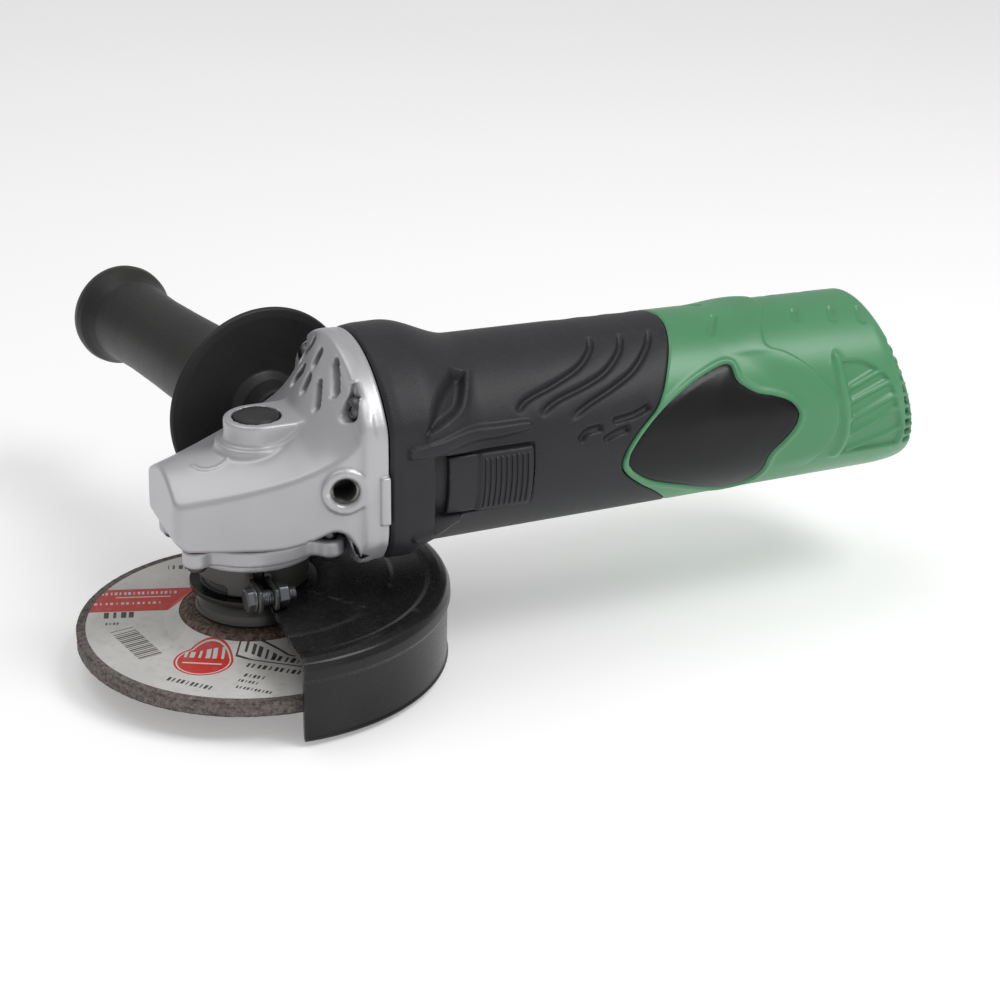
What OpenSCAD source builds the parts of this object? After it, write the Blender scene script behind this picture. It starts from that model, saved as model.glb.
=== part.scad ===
// Angle grinder of the 115 mm class, as an assembly of separate pieces.
// +X runs from the nose to the tail, +Y to the side handle, +Z up along the spindle.
// The origin is the centre of the spindle's free end. All sizes are in millimetres.

/* [Grinding wheel] */
// Diameter of the wheel
wheel_d = 115; // [100:1:125]
// Thickness of the wheel
wheel_t = 5.2; // [3:0.1:6.5]
// Rise of the raised hub over the rim
hub_rise = 5.4; // [3:0.1:6.5]
// Diameter of the flat of the raised hub
hub_d = 44; // [42:1:50]
// Bore of the wheel
wheel_bore_d = 22.2; // [20:0.1:24]
// Width of bare disc left outside the printed label
label_margin = 3; // [1.5:0.5:15]

/* [Spindle stack] */
// Spindle left free below the nut
tip_len = 3; // [2:0.5:6]
// Diameter of the spindle thread
spindle_d = 14; // [12:0.5:14]
// Thickness of the wheel nut
nut_t = 5.2; // [4:0.1:8]
// Diameter of the wheel nut
nut_d = 34; // [30:1:40]
// Thickness of the inner flange
flange_t = 7.4; // [6:0.1:10]
// Diameter of the inner flange
flange_d = 38; // [36:1:42]
// Diameter of the spindle where the gear and bearing sit
seat_d = 12; // [10:0.5:12]
// Diameter of the spindle's upper journal
journal_d = 8; // [7:0.5:8]

/* [Guard] */
// Radial gap between wheel and guard
guard_gap = 4.6; // [3:0.1:8]
// Sheet thickness of the guard
guard_wall = 1.8; // [1.2:0.1:2.5]
// Drop of the guard's skirt below its plate
guard_drop = 26; // [22:0.5:30]
// Angle that the guard covers
guard_angle = 186; // [150:2:210]
// Radial thickness of the collar on the neck
collar_wall = 1.3; // [1:0.1:2]
// Height of the clamp band
clamp_h = 10.3; // [6:0.1:11]

/* [Bearing cover] */
// Radius of the round flange
cover_r = 24.5; // [22:0.5:26]
// Thickness of the flange
cover_t = 7; // [6:0.5:9]
// Outer radius of the neck that carries the guard
neck_r = 15; // [14:0.1:16]
// Length of the neck
neck_len = 12.6; // [11.5:0.1:15]

/* [Gear case] */
// Height of the motor axis above the case's lower face
axis_rise = 20; // [19:0.5:22]
// Distance from the spindle to the nose
nose_len = 29.5; // [27:0.5:34]
// Half the width of the nose's front
nose_half_w = 17.8; // [15:0.1:20]
// Front of the flange that meets the motor housing
case_flange_x = 27; // [26:0.5:28]
// Joint between gear case and motor housing
joint_x = 35; // [34.5:0.5:40]
// Half the width of the flange
flange_half_w = 35.4; // [34:0.2:38]
// Radius of the flange's top
flange_top_r = 39.6; // [38:0.2:43]
// Depth of the flange below the motor axis
flange_low = 29; // [27:0.5:32]
// Radius of the flange's lower corners
flange_corner_r = 9; // [6:0.5:12]

/* [Gears] */
// Teeth on the ring gear
ring_teeth = 41; // [37:1:43]
// Teeth on the pinion
pinion_teeth = 13; // [11:1:14]
// Tooth size at the outer end
gear_module = 1; // [0.9:0.05:1]
// Length of the teeth as a share of the cone distance
tooth_share = 0.3; // [0.2:0.02:0.34]

/* [Lock button] */
// Distance of the button from the spindle towards the tail
lock_x = 2.8; // [2.4:0.1:3]
// Radius of the button
button_r = 7.5; // [6.5:0.1:8]
// Travel of the button
lock_travel = 3; // [2:0.1:3.2]
// Height of the button's collar above the motor axis
boss_top = 15.7; // [15.5:0.1:18]
// Radius of the lock pin
lock_pin_r = 1.4; // [1.2:0.1:1.5]

/* [Side handle] */
// Where the handle's axis crosses the centre plane
handle_x = 27.75; // [26:0.25:29]
// Lean of the handle towards the nose
handle_lean = 11.75; // [0:0.25:14]
// Radius of the threaded sockets
socket_r = 4.25; // [3:0.05:5]
// Depth of the threaded sockets
socket_depth = 14; // [10:0.5:15]
// Distance from the centre plane to the socket's face
socket_face = 34.4; // [33.5:0.1:37]
// Length of the handle from the socket's face
handle_len = 124; // [100:1:150]
// Radius of the grip
grip_r = 15.5; // [13:0.5:18]
// Radius of the hand-stop disc
stop_r = 34.2; // [25:0.2:40]
// Radius of the end knob
knob_r = 18.4; // [16:0.2:22]

/* [Motor housing] */
// End of the full-width bulge behind the joint
bulge_x = 50; // [46:1:54]
// Where the bulge has run out into the barrel
barrel_x = 68; // [60:1:72]
// Radius of the barrel at its front
barrel_r = 33; // [32:0.2:36]
// Radius of the barrel at the tail
tail_r = 30.8; // [30:0.2:34]
// Wall of the housing and of the tail cover
wall = 2.4; // [2:0.1:2.8]
// Joint of housing and tail cover at the top of the barrel
split_x = 141; // [136:1:144]
// Length of the barrel's rear end
tail_x = 231; // [225:1:250]

/* [Motor] */
// Radius of the stator
stator_r = 26.5; // [24:0.1:26.5]
// Gap between the fan guide and the stator's coils
coil_gap = 2; // [1:0.5:3]
// Length of the stator
stator_len = 46; // [38:1:48]
// Radius of the armature
armature_r = 16; // [14:0.1:16]
// Air gap between armature and stator
air_gap = 0.6; // [0.4:0.1:0.8]
// Radius of the motor shaft
shaft_r = 5; // [4.5:0.1:5.5]
// Radius of the commutator
commutator_r = 11.5; // [10:0.1:12]
// Bars on the commutator
commutator_bars = 24; // [16:1:28]
// Radius of the fan
fan_r = 26; // [22:0.5:28]
// Blades on the fan
fan_blades = 11; // [7:1:17]

/* [Switch] */
// Front of the switch knob
knob_x = 55; // [54:0.5:58]
// Length of the switch knob
knob_len = 28.6; // [24:0.2:30]
// Travel of the switch knob
switch_travel = 5; // [3:0.5:5]
// Distance from the lever's pivot to its tip
lever_len = 10; // [8:0.5:10]

/* [Cord inlet] */
// Drop of the inlet below the motor axis
inlet_drop = 8; // [6:0.5:10]
// Outer radius of the rubber bush
bush_r = 6.5; // [6:0.1:8]
// Bore of the rubber bush
bush_bore_r = 3.9; // [3:0.1:5]

/* [Hidden] */
$fn = 48;

// Gap of a running fit, and gap between loose neighbours
run_gap = 0.05;
free_gap = 0.3;

// Radius of the plain lead at the spindle's free end
spindle_lead_r = spindle_d / 2 - 0.8;

// Heights of the spindle stack, from the free end upwards
nut_z = tip_len;
hub_low_z = nut_z + nut_t;
hub_top_z = hub_low_z + wheel_t;
rim_top_z = hub_top_z - hub_rise;
rim_low_z = rim_top_z - wheel_t;
flange_top_z = hub_top_z + flange_t;
plate_z = flange_top_z + 0.8;
plate_top_z = plate_z + guard_wall;
cover_z = plate_top_z + neck_len;
case_z = cover_z + cover_t;
axis_z = case_z + axis_rise;
label_r = wheel_d / 2 - label_margin;

// Bearings: width, outer radius, and radii of the raceways
spindle_bearing_w = 10;
spindle_bearing_r = 16;
front_bearing_w = 8;
front_bearing_r = 13;
rear_bearing_w = 7;
rear_bearing_r = 11;
rear_seat_r = 4;
retainer_r = front_bearing_r + 4.6;
retainer_t = 1.6;
retainer_screw_r = 1.2;
retainer_grip = 4;
bearing_floor = 1.3;
spindle_bearing_z = cover_z + bearing_floor;
gear_z = spindle_bearing_z + spindle_bearing_w;
front_bearing_x = joint_x - 11;

// Bevel gears share one apex where the two axes cross
ring_pitch_r = ring_teeth * gear_module / 2;
pinion_pitch_r = pinion_teeth * gear_module / 2;
cone_r = sqrt(ring_pitch_r * ring_pitch_r + pinion_pitch_r * pinion_pitch_r);
ring_angle = atan2(ring_pitch_r, pinion_pitch_r);
pinion_angle = 90 - ring_angle;
addendum = 0.95 * gear_module;
dedendum = 1.15 * gear_module;
toe = 1 - tooth_share;
gear_bore_r = seat_d / 2;
pinion_bore_r = 2.6;
pinion_nut_x = toe * ring_pitch_r - 4.3;
pinion_nut_len = 3.4;
ring_cavity_r = ring_pitch_r + 2;
ring_cavity_top = axis_z - pinion_pitch_r + 3 * gear_module;

// Upper end of the spindle, its bush and the lock pin over it
bush_wall = 2;
bush_low_z = axis_z - 3.6;
bush_len = 7.4;
pin_lift = 0.5;
spindle_end_z = bush_low_z + bush_len + lock_travel - pin_lift + 0.2;
slot_depth = lock_travel + 0.6;
pin_rest_z = spindle_end_z + pin_lift;
column_r = journal_d / 2 + bush_wall + 2.3;
boss_r = button_r + 3;
boss_top_z = axis_z + boss_top;
cap_low_z = boss_top_z - 1.4;
cap_top_z = boss_top_z + 1.6;
pocket_z = cap_low_z - lock_travel - 0.1;
spring_seat_z = spindle_end_z + 1.7;
spring_in_r = lock_pin_r + 1.3;
spring_wire_r = 0.5;
spring_turns = 4;
cap_recess = 1.4;

// Guard and its clamp
guard_r = wheel_d / 2 + guard_gap + guard_wall;
guard_low_z = plate_top_z - guard_drop - guard_wall;
collar_r = neck_r + run_gap;
band_r = collar_r + collar_wall + run_gap;
band_wall = 1.4;
band_z = plate_top_z + 0.6;
ear_x = -3.3;
ear_gap = 3.6;
ear_wall = 1.6;
ear_out = 29.5;
clamp_bolt_y = -25;
clamp_bolt_z = band_z + 3.6;
clamp_bolt_r = 2.5;

// Bearing cover screws, and the case screws as [y, z] from the motor axis
cover_screws_at = [[-22, 14], [-22, -14], [19.5, 20.5], [19.5, -20.5]];
cover_screw_r = 2;
case_screws_at = [[25, 24], [-25, 24], [28, -21], [-28, -21]];
case_screw_r = 2;
case_screw_head_x = case_flange_x + 1.5;
case_screw_len = 20;

// Inside of the motor housing
bulge_in_r = flange_top_r - 8.6;
sleeve_r = 28.3;
sleeve_wall = 2;
sleeve_x = 112;
bridge_x = 150;
bridge_end_x = 160;
rear_bearing_x = bridge_end_x - rear_bearing_w - 0.5;
rear_sleeve_r = rear_bearing_r + 2.5;
fan_x = joint_x + 6;
fan_len = 11;
guide_x = fan_x + fan_len + 2;
guide_t = 2;
coil_reach = 6;
stator_x = guide_x + guide_t + coil_gap + coil_reach;
commutator_x = stator_x + stator_len + 13;
commutator_len = 18;
brush_x = commutator_x + 9;
brush_w = 6.3;
brush_len = 12;
brush_z = commutator_r + free_gap;
pole_angle = 60;
coil_angle = 104;

// Switch pieces. Angles run round the barrel from the top towards -Y
knob_from = 79;
knob_to = 115;
knob_pocket = 1.2;
bar_y = -28.2;
bar_t = 1.4;
bar_z = -7;
bar_w = 7;
fork_wall = 1.4;
fork_in = 4.2;
neck_x = guide_x + guide_t + switch_travel + free_gap;
lever_y = bar_y + bar_t + 1.9 + lever_len;
lever_z = bar_z + bar_w / 2;
lever_tip_r = 1.4;
fork_gap = 2 * lever_tip_r + 0.9;
lever_x = bridge_end_x + switch_travel + fork_gap / 2 + fork_wall + free_gap;

// Tail: slanted end face, inlet and air slots
tail_slant = 15.5;
tail_round_x = tail_x - 20;
inlet_z = axis_z - inlet_drop;
slot_count = 5;
end_disc_x = tail_x - 7;
bush_x = tail_x - 18;
clamp_x = tail_x - 25;

// Joint line of housing and tail cover in side view, as [x from split_x, z from the axis]
split_line = [[0, 40], [0, 33], [-3, 24], [-10, 13], [-23.5, 1], [-24.7, -7], [-17, -16],
              [-8, -22], [0, -33], [0, -40]];

// Outline of the badges in side view, as [x from the joint line, z from the axis]
badge_line = [[14, 21], [18, 15.5], [24, 11.5], [31, 9.5], [37, 7], [39.5, 2.5], [37, -4],
              [31, -10.5], [29, -18], [27, -24], [17, -23.5], [0, -18.5], [-14, -13],
              [-22, -7.5], [-23, -2], [-19, 4], [-12, 10], [-4.5, 14.5], [5, 18.5]];

// Radius of the barrel at a place along X
function barrel_at(x) = barrel_r + (tail_r - barrel_r) * (x - barrel_x) / (tail_x - barrel_x);

// Half the width of the nose in plan at a place along X
function nose_half(x) = nose_half_w + (flange_half_w - 2 - nose_half_w) * (x + nose_len)
    / (case_flange_x + nose_len);

// Stand a shape drawn along Z on the motor axis, pointing along +X from x
module on_motor(x) {
    translate([x, 0, axis_z]) rotate([0, 90, 0]) children();
}

// Stand an outline drawn as [y, z from the motor axis] at x
module slab(x, length) {
    translate([x, 0, axis_z]) rotate([90, 0, 90]) linear_extrude(length) children();
}

// Stand a shape on a side handle axis: side 1 is +Y, side -1 is -Y
module on_handle(side) {
    translate([handle_x, 0, axis_z]) rotate([0, 0, side * handle_lean])
        rotate([-90 * side, 0, 0]) children();
}

module tube(r_out, r_in, h) {
    difference() {
        cylinder(r = r_out, h = h);
        translate([0, 0, -1]) cylinder(r = r_in, h = h + 2);
    }
}

module screw(r, head_r, head_h, length) {
    difference() {
        union() {
            cylinder(r = r, h = length + head_h / 2);
            translate([0, 0, length]) cylinder(r = head_r, h = head_h);
        }
        for (turn = [0, 90]) rotate([0, 0, turn])
            translate([-head_r * 0.6, -0.5, length + head_h - 1.2])
                cube([head_r * 1.2, 1, 2]);
    }
}

// Outer ring with shields, and the balls inside it
module bearing_outer(r_out, r_bore, w) {
    land_r = r_bore + (r_out - r_bore) * 0.28;
    race_r = r_bore + (r_out - r_bore) * 0.74;
    ball_pitch_r = (land_r + race_r) / 2;
    ball_r = (race_r - land_r) / 2 - run_gap;
    balls = floor(3.14 * ball_pitch_r / ball_r / 1.25);
    tube(r_out, race_r, w);
    for (z = [0, w - 0.6]) translate([0, 0, z]) tube(race_r + 0.01, land_r + free_gap, 0.6);
    for (i = [0:balls - 1]) rotate([0, 0, i * 360 / balls])
        translate([ball_pitch_r, 0, w / 2]) sphere(r = ball_r);
}

module bearing_inner(r_out, r_bore, w) {
    tube(r_bore + (r_out - r_bore) * 0.28, r_bore, w);
}

// One tapering tooth of a bevel gear whose axis is Z and whose apex is the origin
module bevel_tooth(angle) {
    low = -dedendum - 0.3;
    tip_w = 0.26 * gear_module;
    root_w = 0.72 * gear_module;
    corners = [for (k = [toe, 1]) for (p = [[low, -root_w], [low, root_w],
        [addendum, tip_w], [addendum, -tip_w]])
        [k * (cone_r * sin(angle) + p[0] * cos(angle)), k * p[1],
         k * (cone_r * cos(angle) - p[0] * sin(angle))]];
    polyhedron(corners, [[3, 2, 1, 0], [4, 5, 6, 7], [1, 5, 4, 0], [2, 6, 5, 1],
        [3, 7, 6, 2], [0, 4, 7, 3]]);
}

// Outline of the flange that case and housing share, as [y, z from the motor axis]
module flange_outline(grow) {
    half = flange_half_w + grow;
    corner = flange_corner_r;
    intersection() {
        circle(r = flange_top_r + grow);
        translate([-half, 0]) square([2 * half, 2 * half]);
    }
    translate([-half, corner - flange_low - grow])
        square([2 * half, flange_low + grow - corner + 0.01]);
    translate([corner - half, -flange_low - grow]) square([2 * (half - corner), corner + 0.01]);
    for (side = [-1, 1]) translate([side * (half - corner), corner - flange_low - grow])
        circle(r = corner);
}

// Everything in front of the joint line of housing and tail cover, or with grow moved back
module ahead_of_split() {
    far = 60;
    translate([split_x, far, axis_z]) rotate([90, 0, 0]) linear_extrude(2 * far)
        polygon(concat([[-split_x, 40], [-split_x, -40]],
            [for (i = [len(split_line) - 1:-1:0]) split_line[i]]));
}

/* ---- gear case group ---- */

module gear_case_outside() {
    side_top = 4.5;
    // Nose and deck, rising to the button's boss
    hull() {
        translate([0, 0, case_z]) linear_extrude(axis_z - 4.5 - case_z)
            polygon([[-nose_len, -nose_half_w + 3], [-nose_len + 2.7, -nose_half_w],
                [8, -nose_half(8)], [8, nose_half(8)], [-nose_len + 2.7, nose_half_w],
                [-nose_len, nose_half_w - 3]]);
        translate([-nose_len + 0.5, -4, case_z]) cube([2, 8, axis_z + 2 - case_z]);
        translate([lock_x, 0, case_z]) cylinder(r = boss_r + 2, h = axis_z + 6.5 - case_z, $fn = 32);
    }
    // Shoulder, from the deck up to the flange
    hull() {
        slab(6, 1) polygon([[-nose_half(6), case_z - axis_z], [nose_half(6), case_z - axis_z],
            [nose_half(6), side_top - 3], [boss_r, 9], [-boss_r, 9], [-nose_half(6), side_top - 3]]);
        slab(case_flange_x, 1) intersection() {
            flange_outline(-1.2);
            translate([-50, case_z - axis_z]) square([100, 100]);
        }
    }
    slab(case_flange_x, joint_x - case_flange_x) flange_outline(-0.4);
    translate([lock_x, 0, case_z]) cylinder(r = boss_r, h = boss_top_z - case_z);
    for (side = [-1, 1]) on_handle(side) translate([0, 0, 20])
        cylinder(r = socket_r + 3, h = socket_face - 20);
}

module gear_case_inside() {
    difference() {
        union() {
            translate([0, 0, case_z - 1]) cylinder(r = ring_cavity_r, h = ring_cavity_top - case_z + 1);
            on_motor(column_r) cylinder(r = pinion_pitch_r + 1.8, h = front_bearing_x - column_r + 1);
        }
        translate([0, 0, axis_z - pinion_pitch_r + 0.9]) cylinder(r = column_r, h = 40);
    }
    // Bush, spindle end, lock pin, spring pocket and button
    translate([0, 0, bush_low_z - 10]) cylinder(r = journal_d / 2 + bush_wall, h = bush_len + 10);
    translate([0, 0, bush_low_z]) cylinder(r = journal_d / 2 + 0.5, h = spindle_end_z + 0.4 - bush_low_z);
    translate([lock_x, 0, bush_low_z + bush_len]) cylinder(r = lock_pin_r + run_gap, h = 20);
    translate([lock_x, 0, spring_seat_z])
        cylinder(r = spring_in_r + 2 * spring_wire_r + 0.6, h = pocket_z - spring_seat_z + 1);
    translate([lock_x, 0, pocket_z]) cylinder(r = button_r + free_gap, h = 20);
    // Front bearing seat and the air chamber round it
    on_motor(front_bearing_x) cylinder(r = front_bearing_r, h = 30);
    on_motor(front_bearing_x + front_bearing_w) cylinder(r = retainer_r + free_gap, h = 20);
    for (turn = [45:90:315]) on_motor(front_bearing_x + front_bearing_w - retainer_grip)
        rotate([0, 0, turn]) translate([front_bearing_r + 2.3, 0, 0])
            cylinder(r = retainer_screw_r + run_gap, h = retainer_grip + 1);
    on_motor(case_flange_x + 1.5) difference() {
        cylinder(r = bulge_in_r, h = 20);
        translate([0, 0, -1]) cylinder(r = front_bearing_r + 4.6, h = 22);
    }
    for (side = [-1, 1]) on_handle(side) translate([0, 0, socket_face - socket_depth])
        cylinder(r = socket_r, h = socket_depth + 5);
    for (p = case_screws_at) slab(case_flange_x - 20, 60) translate(p) circle(r = case_screw_r);
    for (p = case_screws_at) slab(case_screw_head_x - 30, 30) translate(p) circle(r = 4.2);
    for (p = cover_screws_at) translate([p[0], p[1], case_z - 1]) cylinder(r = cover_screw_r, h = 11);
    // Air outlets on the shoulder
    for (z = [21.5, 30]) slab(8, 30) translate([0, z]) square([4.2, 5], center = true);
    for (side = [-1, 1]) {
        slab(8, 30) translate([side * 7.5, 24]) rotate(side * 14) square([3.2, 9], center = true);
        slab(8, 30) translate([side * 13.5, 26]) rotate(side * 20) square([3.2, 11], center = true);
    }
}

module gear_case() {
    color("gainsboro") difference() {
        gear_case_outside();
        gear_case_inside();
    }
}

module lock_button() {
    color("dimgray") translate([lock_x, 0, 0]) difference() {
        union() {
            translate([0, 0, cap_low_z]) cylinder(r = button_r, h = cap_top_z - 1 - cap_low_z);
            translate([0, 0, cap_top_z - 1.01]) cylinder(r1 = button_r, r2 = button_r - 1, h = 1);
        }
        translate([0, 0, cap_low_z - 1])
            cylinder(r = spring_in_r + 2 * spring_wire_r + 0.6, h = cap_recess + 1);
    }
}

module lock_pin() {
    color("silver") translate([lock_x, 0, pin_rest_z])
        cylinder(r = lock_pin_r, h = cap_low_z + cap_recess - pin_rest_z);
}

// A coil as a stack of rings, each joined to the next by a short post
module ring_coil(r, wire_r, length, turns) {
    pitch = (length - 2 * wire_r) / (turns - 1);
    for (i = [0:turns - 1]) translate([0, 0, wire_r + i * pitch])
        rotate_extrude() translate([r, 0]) circle(r = wire_r, $fn = 16);
    for (i = [0:turns - 2]) rotate([0, 0, i * 180]) translate([r, 0, wire_r + i * pitch])
        cylinder(r = wire_r * 0.8, h = pitch);
}

module lock_spring() {
    color("silver") translate([lock_x, 0, spring_seat_z])
        ring_coil(spring_in_r + spring_wire_r, spring_wire_r,
            cap_low_z + cap_recess - spring_seat_z, spring_turns);
}

module case_screws() {
    color("slategray") for (p = case_screws_at)
        translate([case_screw_head_x, p[0], axis_z + p[1]]) rotate([0, 90, 0])
            translate([0, 0, case_screw_len]) rotate([180, 0, 0]) screw(case_screw_r, 3.6, 3, case_screw_len);
}

/* ---- bearing cover and spindle group ---- */

module cover_plan() {
    circle(r = cover_r);
    for (p = cover_screws_at) translate([p[0], p[1]]) circle(r = 5);
    polygon([for (p = [cover_screws_at[0], cover_screws_at[1], cover_screws_at[3],
        cover_screws_at[2]]) [p[0], p[1]]]);
}

module bearing_cover() {
    color("silver") difference() {
        union() {
            translate([0, 0, cover_z]) linear_extrude(cover_t) cover_plan();
            translate([0, 0, plate_top_z + 1.1]) cylinder(r = neck_r, h = neck_len);
        }
        translate([0, 0, spindle_bearing_z]) cylinder(r = spindle_bearing_r, h = 20);
        translate([0, 0, cover_z - 3]) cylinder(r = 12, h = 10);
        translate([0, 0, plate_z]) cylinder(r = neck_r - 3.4, h = cover_z - plate_z + 1);
        for (p = cover_screws_at) translate([p[0], p[1], cover_z - 1]) {
            cylinder(r = cover_screw_r, h = 20);
            cylinder(r = 3.6, h = 3);
        }
    }
}

module cover_screws() {
    color("slategray") for (p = cover_screws_at)
        translate([p[0], p[1], case_z + 9]) rotate([180, 0, 0])
            screw(cover_screw_r, 3.4, 2.6, 9 + cover_t - 2);
}

module spindle_bearing_outer() {
    color("silver") translate([0, 0, spindle_bearing_z])
        bearing_outer(spindle_bearing_r, seat_d / 2, spindle_bearing_w);
}

module spindle_bearing_inner() {
    color("silver") translate([0, 0, spindle_bearing_z])
        bearing_inner(spindle_bearing_r, seat_d / 2, spindle_bearing_w);
}

module spindle_bush() {
    color("goldenrod") translate([0, 0, bush_low_z])
        tube(journal_d / 2 + bush_wall, journal_d / 2 + run_gap, bush_len);
}

module spindle_seal() {
    color("beige") translate([0, 0, cover_z - 3]) tube(neck_r - 3, spindle_d / 2 + 1.8, 3);
}

module spindle() {
    shoulder_r = spindle_d / 2 + 1.5;
    color("silver") difference() {
        union() {
            translate([0, 0, nut_z]) cylinder(r = spindle_d / 2, h = plate_top_z - nut_z + 1);
            cylinder(r = spindle_lead_r, h = nut_z + 0.5);
            translate([0, 0, plate_top_z + 0.6])
                cylinder(r = shoulder_r, h = spindle_bearing_z - plate_top_z - 0.6);
            translate([0, 0, spindle_bearing_z - 1])
                cylinder(r = seat_d / 2, h = axis_z - pinion_pitch_r - 0.6 - spindle_bearing_z);
            translate([0, 0, gear_z]) cylinder(r = journal_d / 2, h = spindle_end_z - gear_z);
        }
        // Six openings in the end face for the lock pin
        for (turn = [0, 60, 120]) rotate([0, 0, turn])
            translate([-journal_d, -lock_pin_r - 0.2, spindle_end_z - slot_depth])
                cube([2 * journal_d, 2 * lock_pin_r + 0.4, slot_depth + 1]);
    }
}

module ring_gear() {
    root_r = cone_r * sin(ring_angle) - dedendum * cos(ring_angle);
    root_z = cone_r * cos(ring_angle) + dedendum * sin(ring_angle);
    hub_top = axis_z - pinion_pitch_r - 1.6;
    color("darkgray") {
        rotate_extrude() polygon([[gear_bore_r, gear_z], [gear_bore_r + 4.4, gear_z],
            [gear_bore_r + 5, gear_z + 2.6], [root_r - 0.6, gear_z + 3.4], [root_r, gear_z + 4.2],
            [root_r, axis_z - root_z], [toe * root_r, axis_z - toe * root_z],
            [toe * root_r - 1.4, hub_top], [gear_bore_r, hub_top]]);
        for (i = [0:ring_teeth - 1]) translate([0, 0, axis_z])
            rotate([0, 0, (i + 0.5) * 360 / ring_teeth]) mirror([0, 0, 1]) bevel_tooth(ring_angle);
    }
}

module inner_flange() {
    hub_r = spindle_d / 2 + 2.6;
    color("dimgray") difference() {
        union() {
            rotate_extrude() polygon([[0, hub_top_z], [flange_d / 2, hub_top_z],
                [flange_d / 2, hub_top_z + 1], [flange_d / 2 - 0.8, hub_top_z + 1.6],
                [flange_d / 2 - 0.8, flange_top_z - 2.4], [flange_d / 2 - 3, flange_top_z],
                [hub_r, flange_top_z], [hub_r, plate_top_z + 0.6], [0, plate_top_z + 0.6]]);
            translate([0, 0, hub_top_z - 1.5]) cylinder(r = wheel_bore_d / 2 - 0.8, h = 2);
        }
        translate([0, 0, -1]) cylinder(r = spindle_d / 2, h = 60);
    }
}

module wheel() {
    inner_r = wheel_bore_d / 2;
    slope_r = hub_d / 2 + 7;
    color("dimgray") rotate_extrude() polygon([[inner_r, hub_low_z], [hub_d / 2, hub_low_z],
        [slope_r, rim_low_z], [wheel_d / 2, rim_low_z], [wheel_d / 2, rim_top_z],
        [slope_r, rim_top_z], [hub_d / 2, hub_top_z], [inner_r, hub_top_z]]);
}

module wheel_label() {
    slope_r = hub_d / 2 + 7;
    paper = 0.25;
    color("whitesmoke") rotate_extrude() polygon([[slope_r, rim_top_z], [label_r, rim_top_z],
        [label_r, rim_top_z + paper], [slope_r + 0.1, rim_top_z + paper],
        [hub_d / 2 + 2, hub_top_z - 2 * hub_rise / 7 + paper],
        [hub_d / 2 + 2, hub_top_z - 2 * hub_rise / 7]]);
}

module wheel_bush() {
    color("silver") translate([0, 0, hub_low_z + 0.2])
        tube(wheel_bore_d / 2, wheel_bore_d / 2 - 0.4, wheel_t - 0.4);
}

module wheel_nut() {
    pilot_r = wheel_bore_d / 2 - 0.6;
    color("dimgray") difference() {
        union() {
            translate([0, 0, nut_z]) cylinder(r = nut_d / 2, h = nut_t);
            translate([0, 0, nut_z]) cylinder(r = pilot_r, h = nut_t + 1.5);
        }
        translate([0, 0, -1]) cylinder(r = spindle_d / 2, h = 60);
        for (turn = [0:90:270]) rotate([0, 0, turn + 45])
            translate([12, 0, nut_z - 1]) cylinder(r = 2.2, h = 4);
    }
}

/* ---- guard group ---- */

module guard() {
    skirt_r = guard_r - 1.4;
    half = guard_angle / 2;
    // The disc round the collar is thicker than the plate by this on both faces
    hub_step = 0.15;
    color("black") {
        rotate([0, 0, -half]) rotate_extrude(angle = guard_angle)
            polygon([[collar_r + 1, plate_z + hub_step], [guard_r - 4, plate_z + hub_step],
                [guard_r - 3.4, plate_z - 2.2], [guard_r - guard_wall, plate_z - 2.6],
                [skirt_r - guard_wall, guard_low_z], [skirt_r, guard_low_z],
                [guard_r, plate_z - 2.2], [guard_r - 1.4, plate_z - 0.6],
                [guard_r - 2.6, plate_top_z - hub_step], [collar_r + 1, plate_top_z - hub_step]]);
        translate([0, 0, plate_z]) difference() {
            union() {
                cylinder(r = collar_r + collar_wall, h = band_z + clamp_h - plate_z);
                cylinder(r = collar_r + 5.5, h = guard_wall);
            }
            translate([0, 0, -1]) cylinder(r = collar_r, h = 60);
        }
    }
}

module guard_clamp() {
    color("darkslategray") difference() {
        union() {
            translate([0, 0, band_z]) tube(band_r + band_wall, band_r, clamp_h);
            for (side = [-1, 1]) translate([ear_x + side * (ear_gap / 2 + ear_wall / 2), 0, 0])
                translate([-ear_wall / 2, -ear_out, band_z])
                    cube([ear_wall, ear_out - band_r - 0.5, clamp_h * 0.72]);
        }
        translate([ear_x - ear_gap / 2, -40, band_z - 1]) cube([ear_gap, 39, clamp_h + 2]);
        translate([ear_x - 20, clamp_bolt_y, clamp_bolt_z]) rotate([0, 90, 0])
            cylinder(r = clamp_bolt_r, h = 40);
        // Notch in the lower edge towards the nose
        translate([-30, -16, band_z - 1]) cube([22, 32, 4]);
    }
}

module guard_clamp_screw() {
    color("gray") translate([ear_x - ear_gap / 2 - ear_wall, clamp_bolt_y, clamp_bolt_z])
        rotate([0, 90, 0]) union() {
            cylinder(r = clamp_bolt_r, h = 13);
            translate([0, 0, -3.4]) cylinder(r = 4.2, h = 3.4, $fn = 6);
        }
}

module guard_clamp_nut() {
    color("gray") translate([ear_x + ear_gap / 2 + ear_wall, clamp_bolt_y, clamp_bolt_z])
        rotate([0, 90, 0]) difference() {
            cylinder(r = 4.4, h = 3.6, $fn = 6);
            translate([0, 0, -1]) cylinder(r = clamp_bolt_r, h = 8);
        }
}

/* ---- side handle group ---- */

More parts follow.
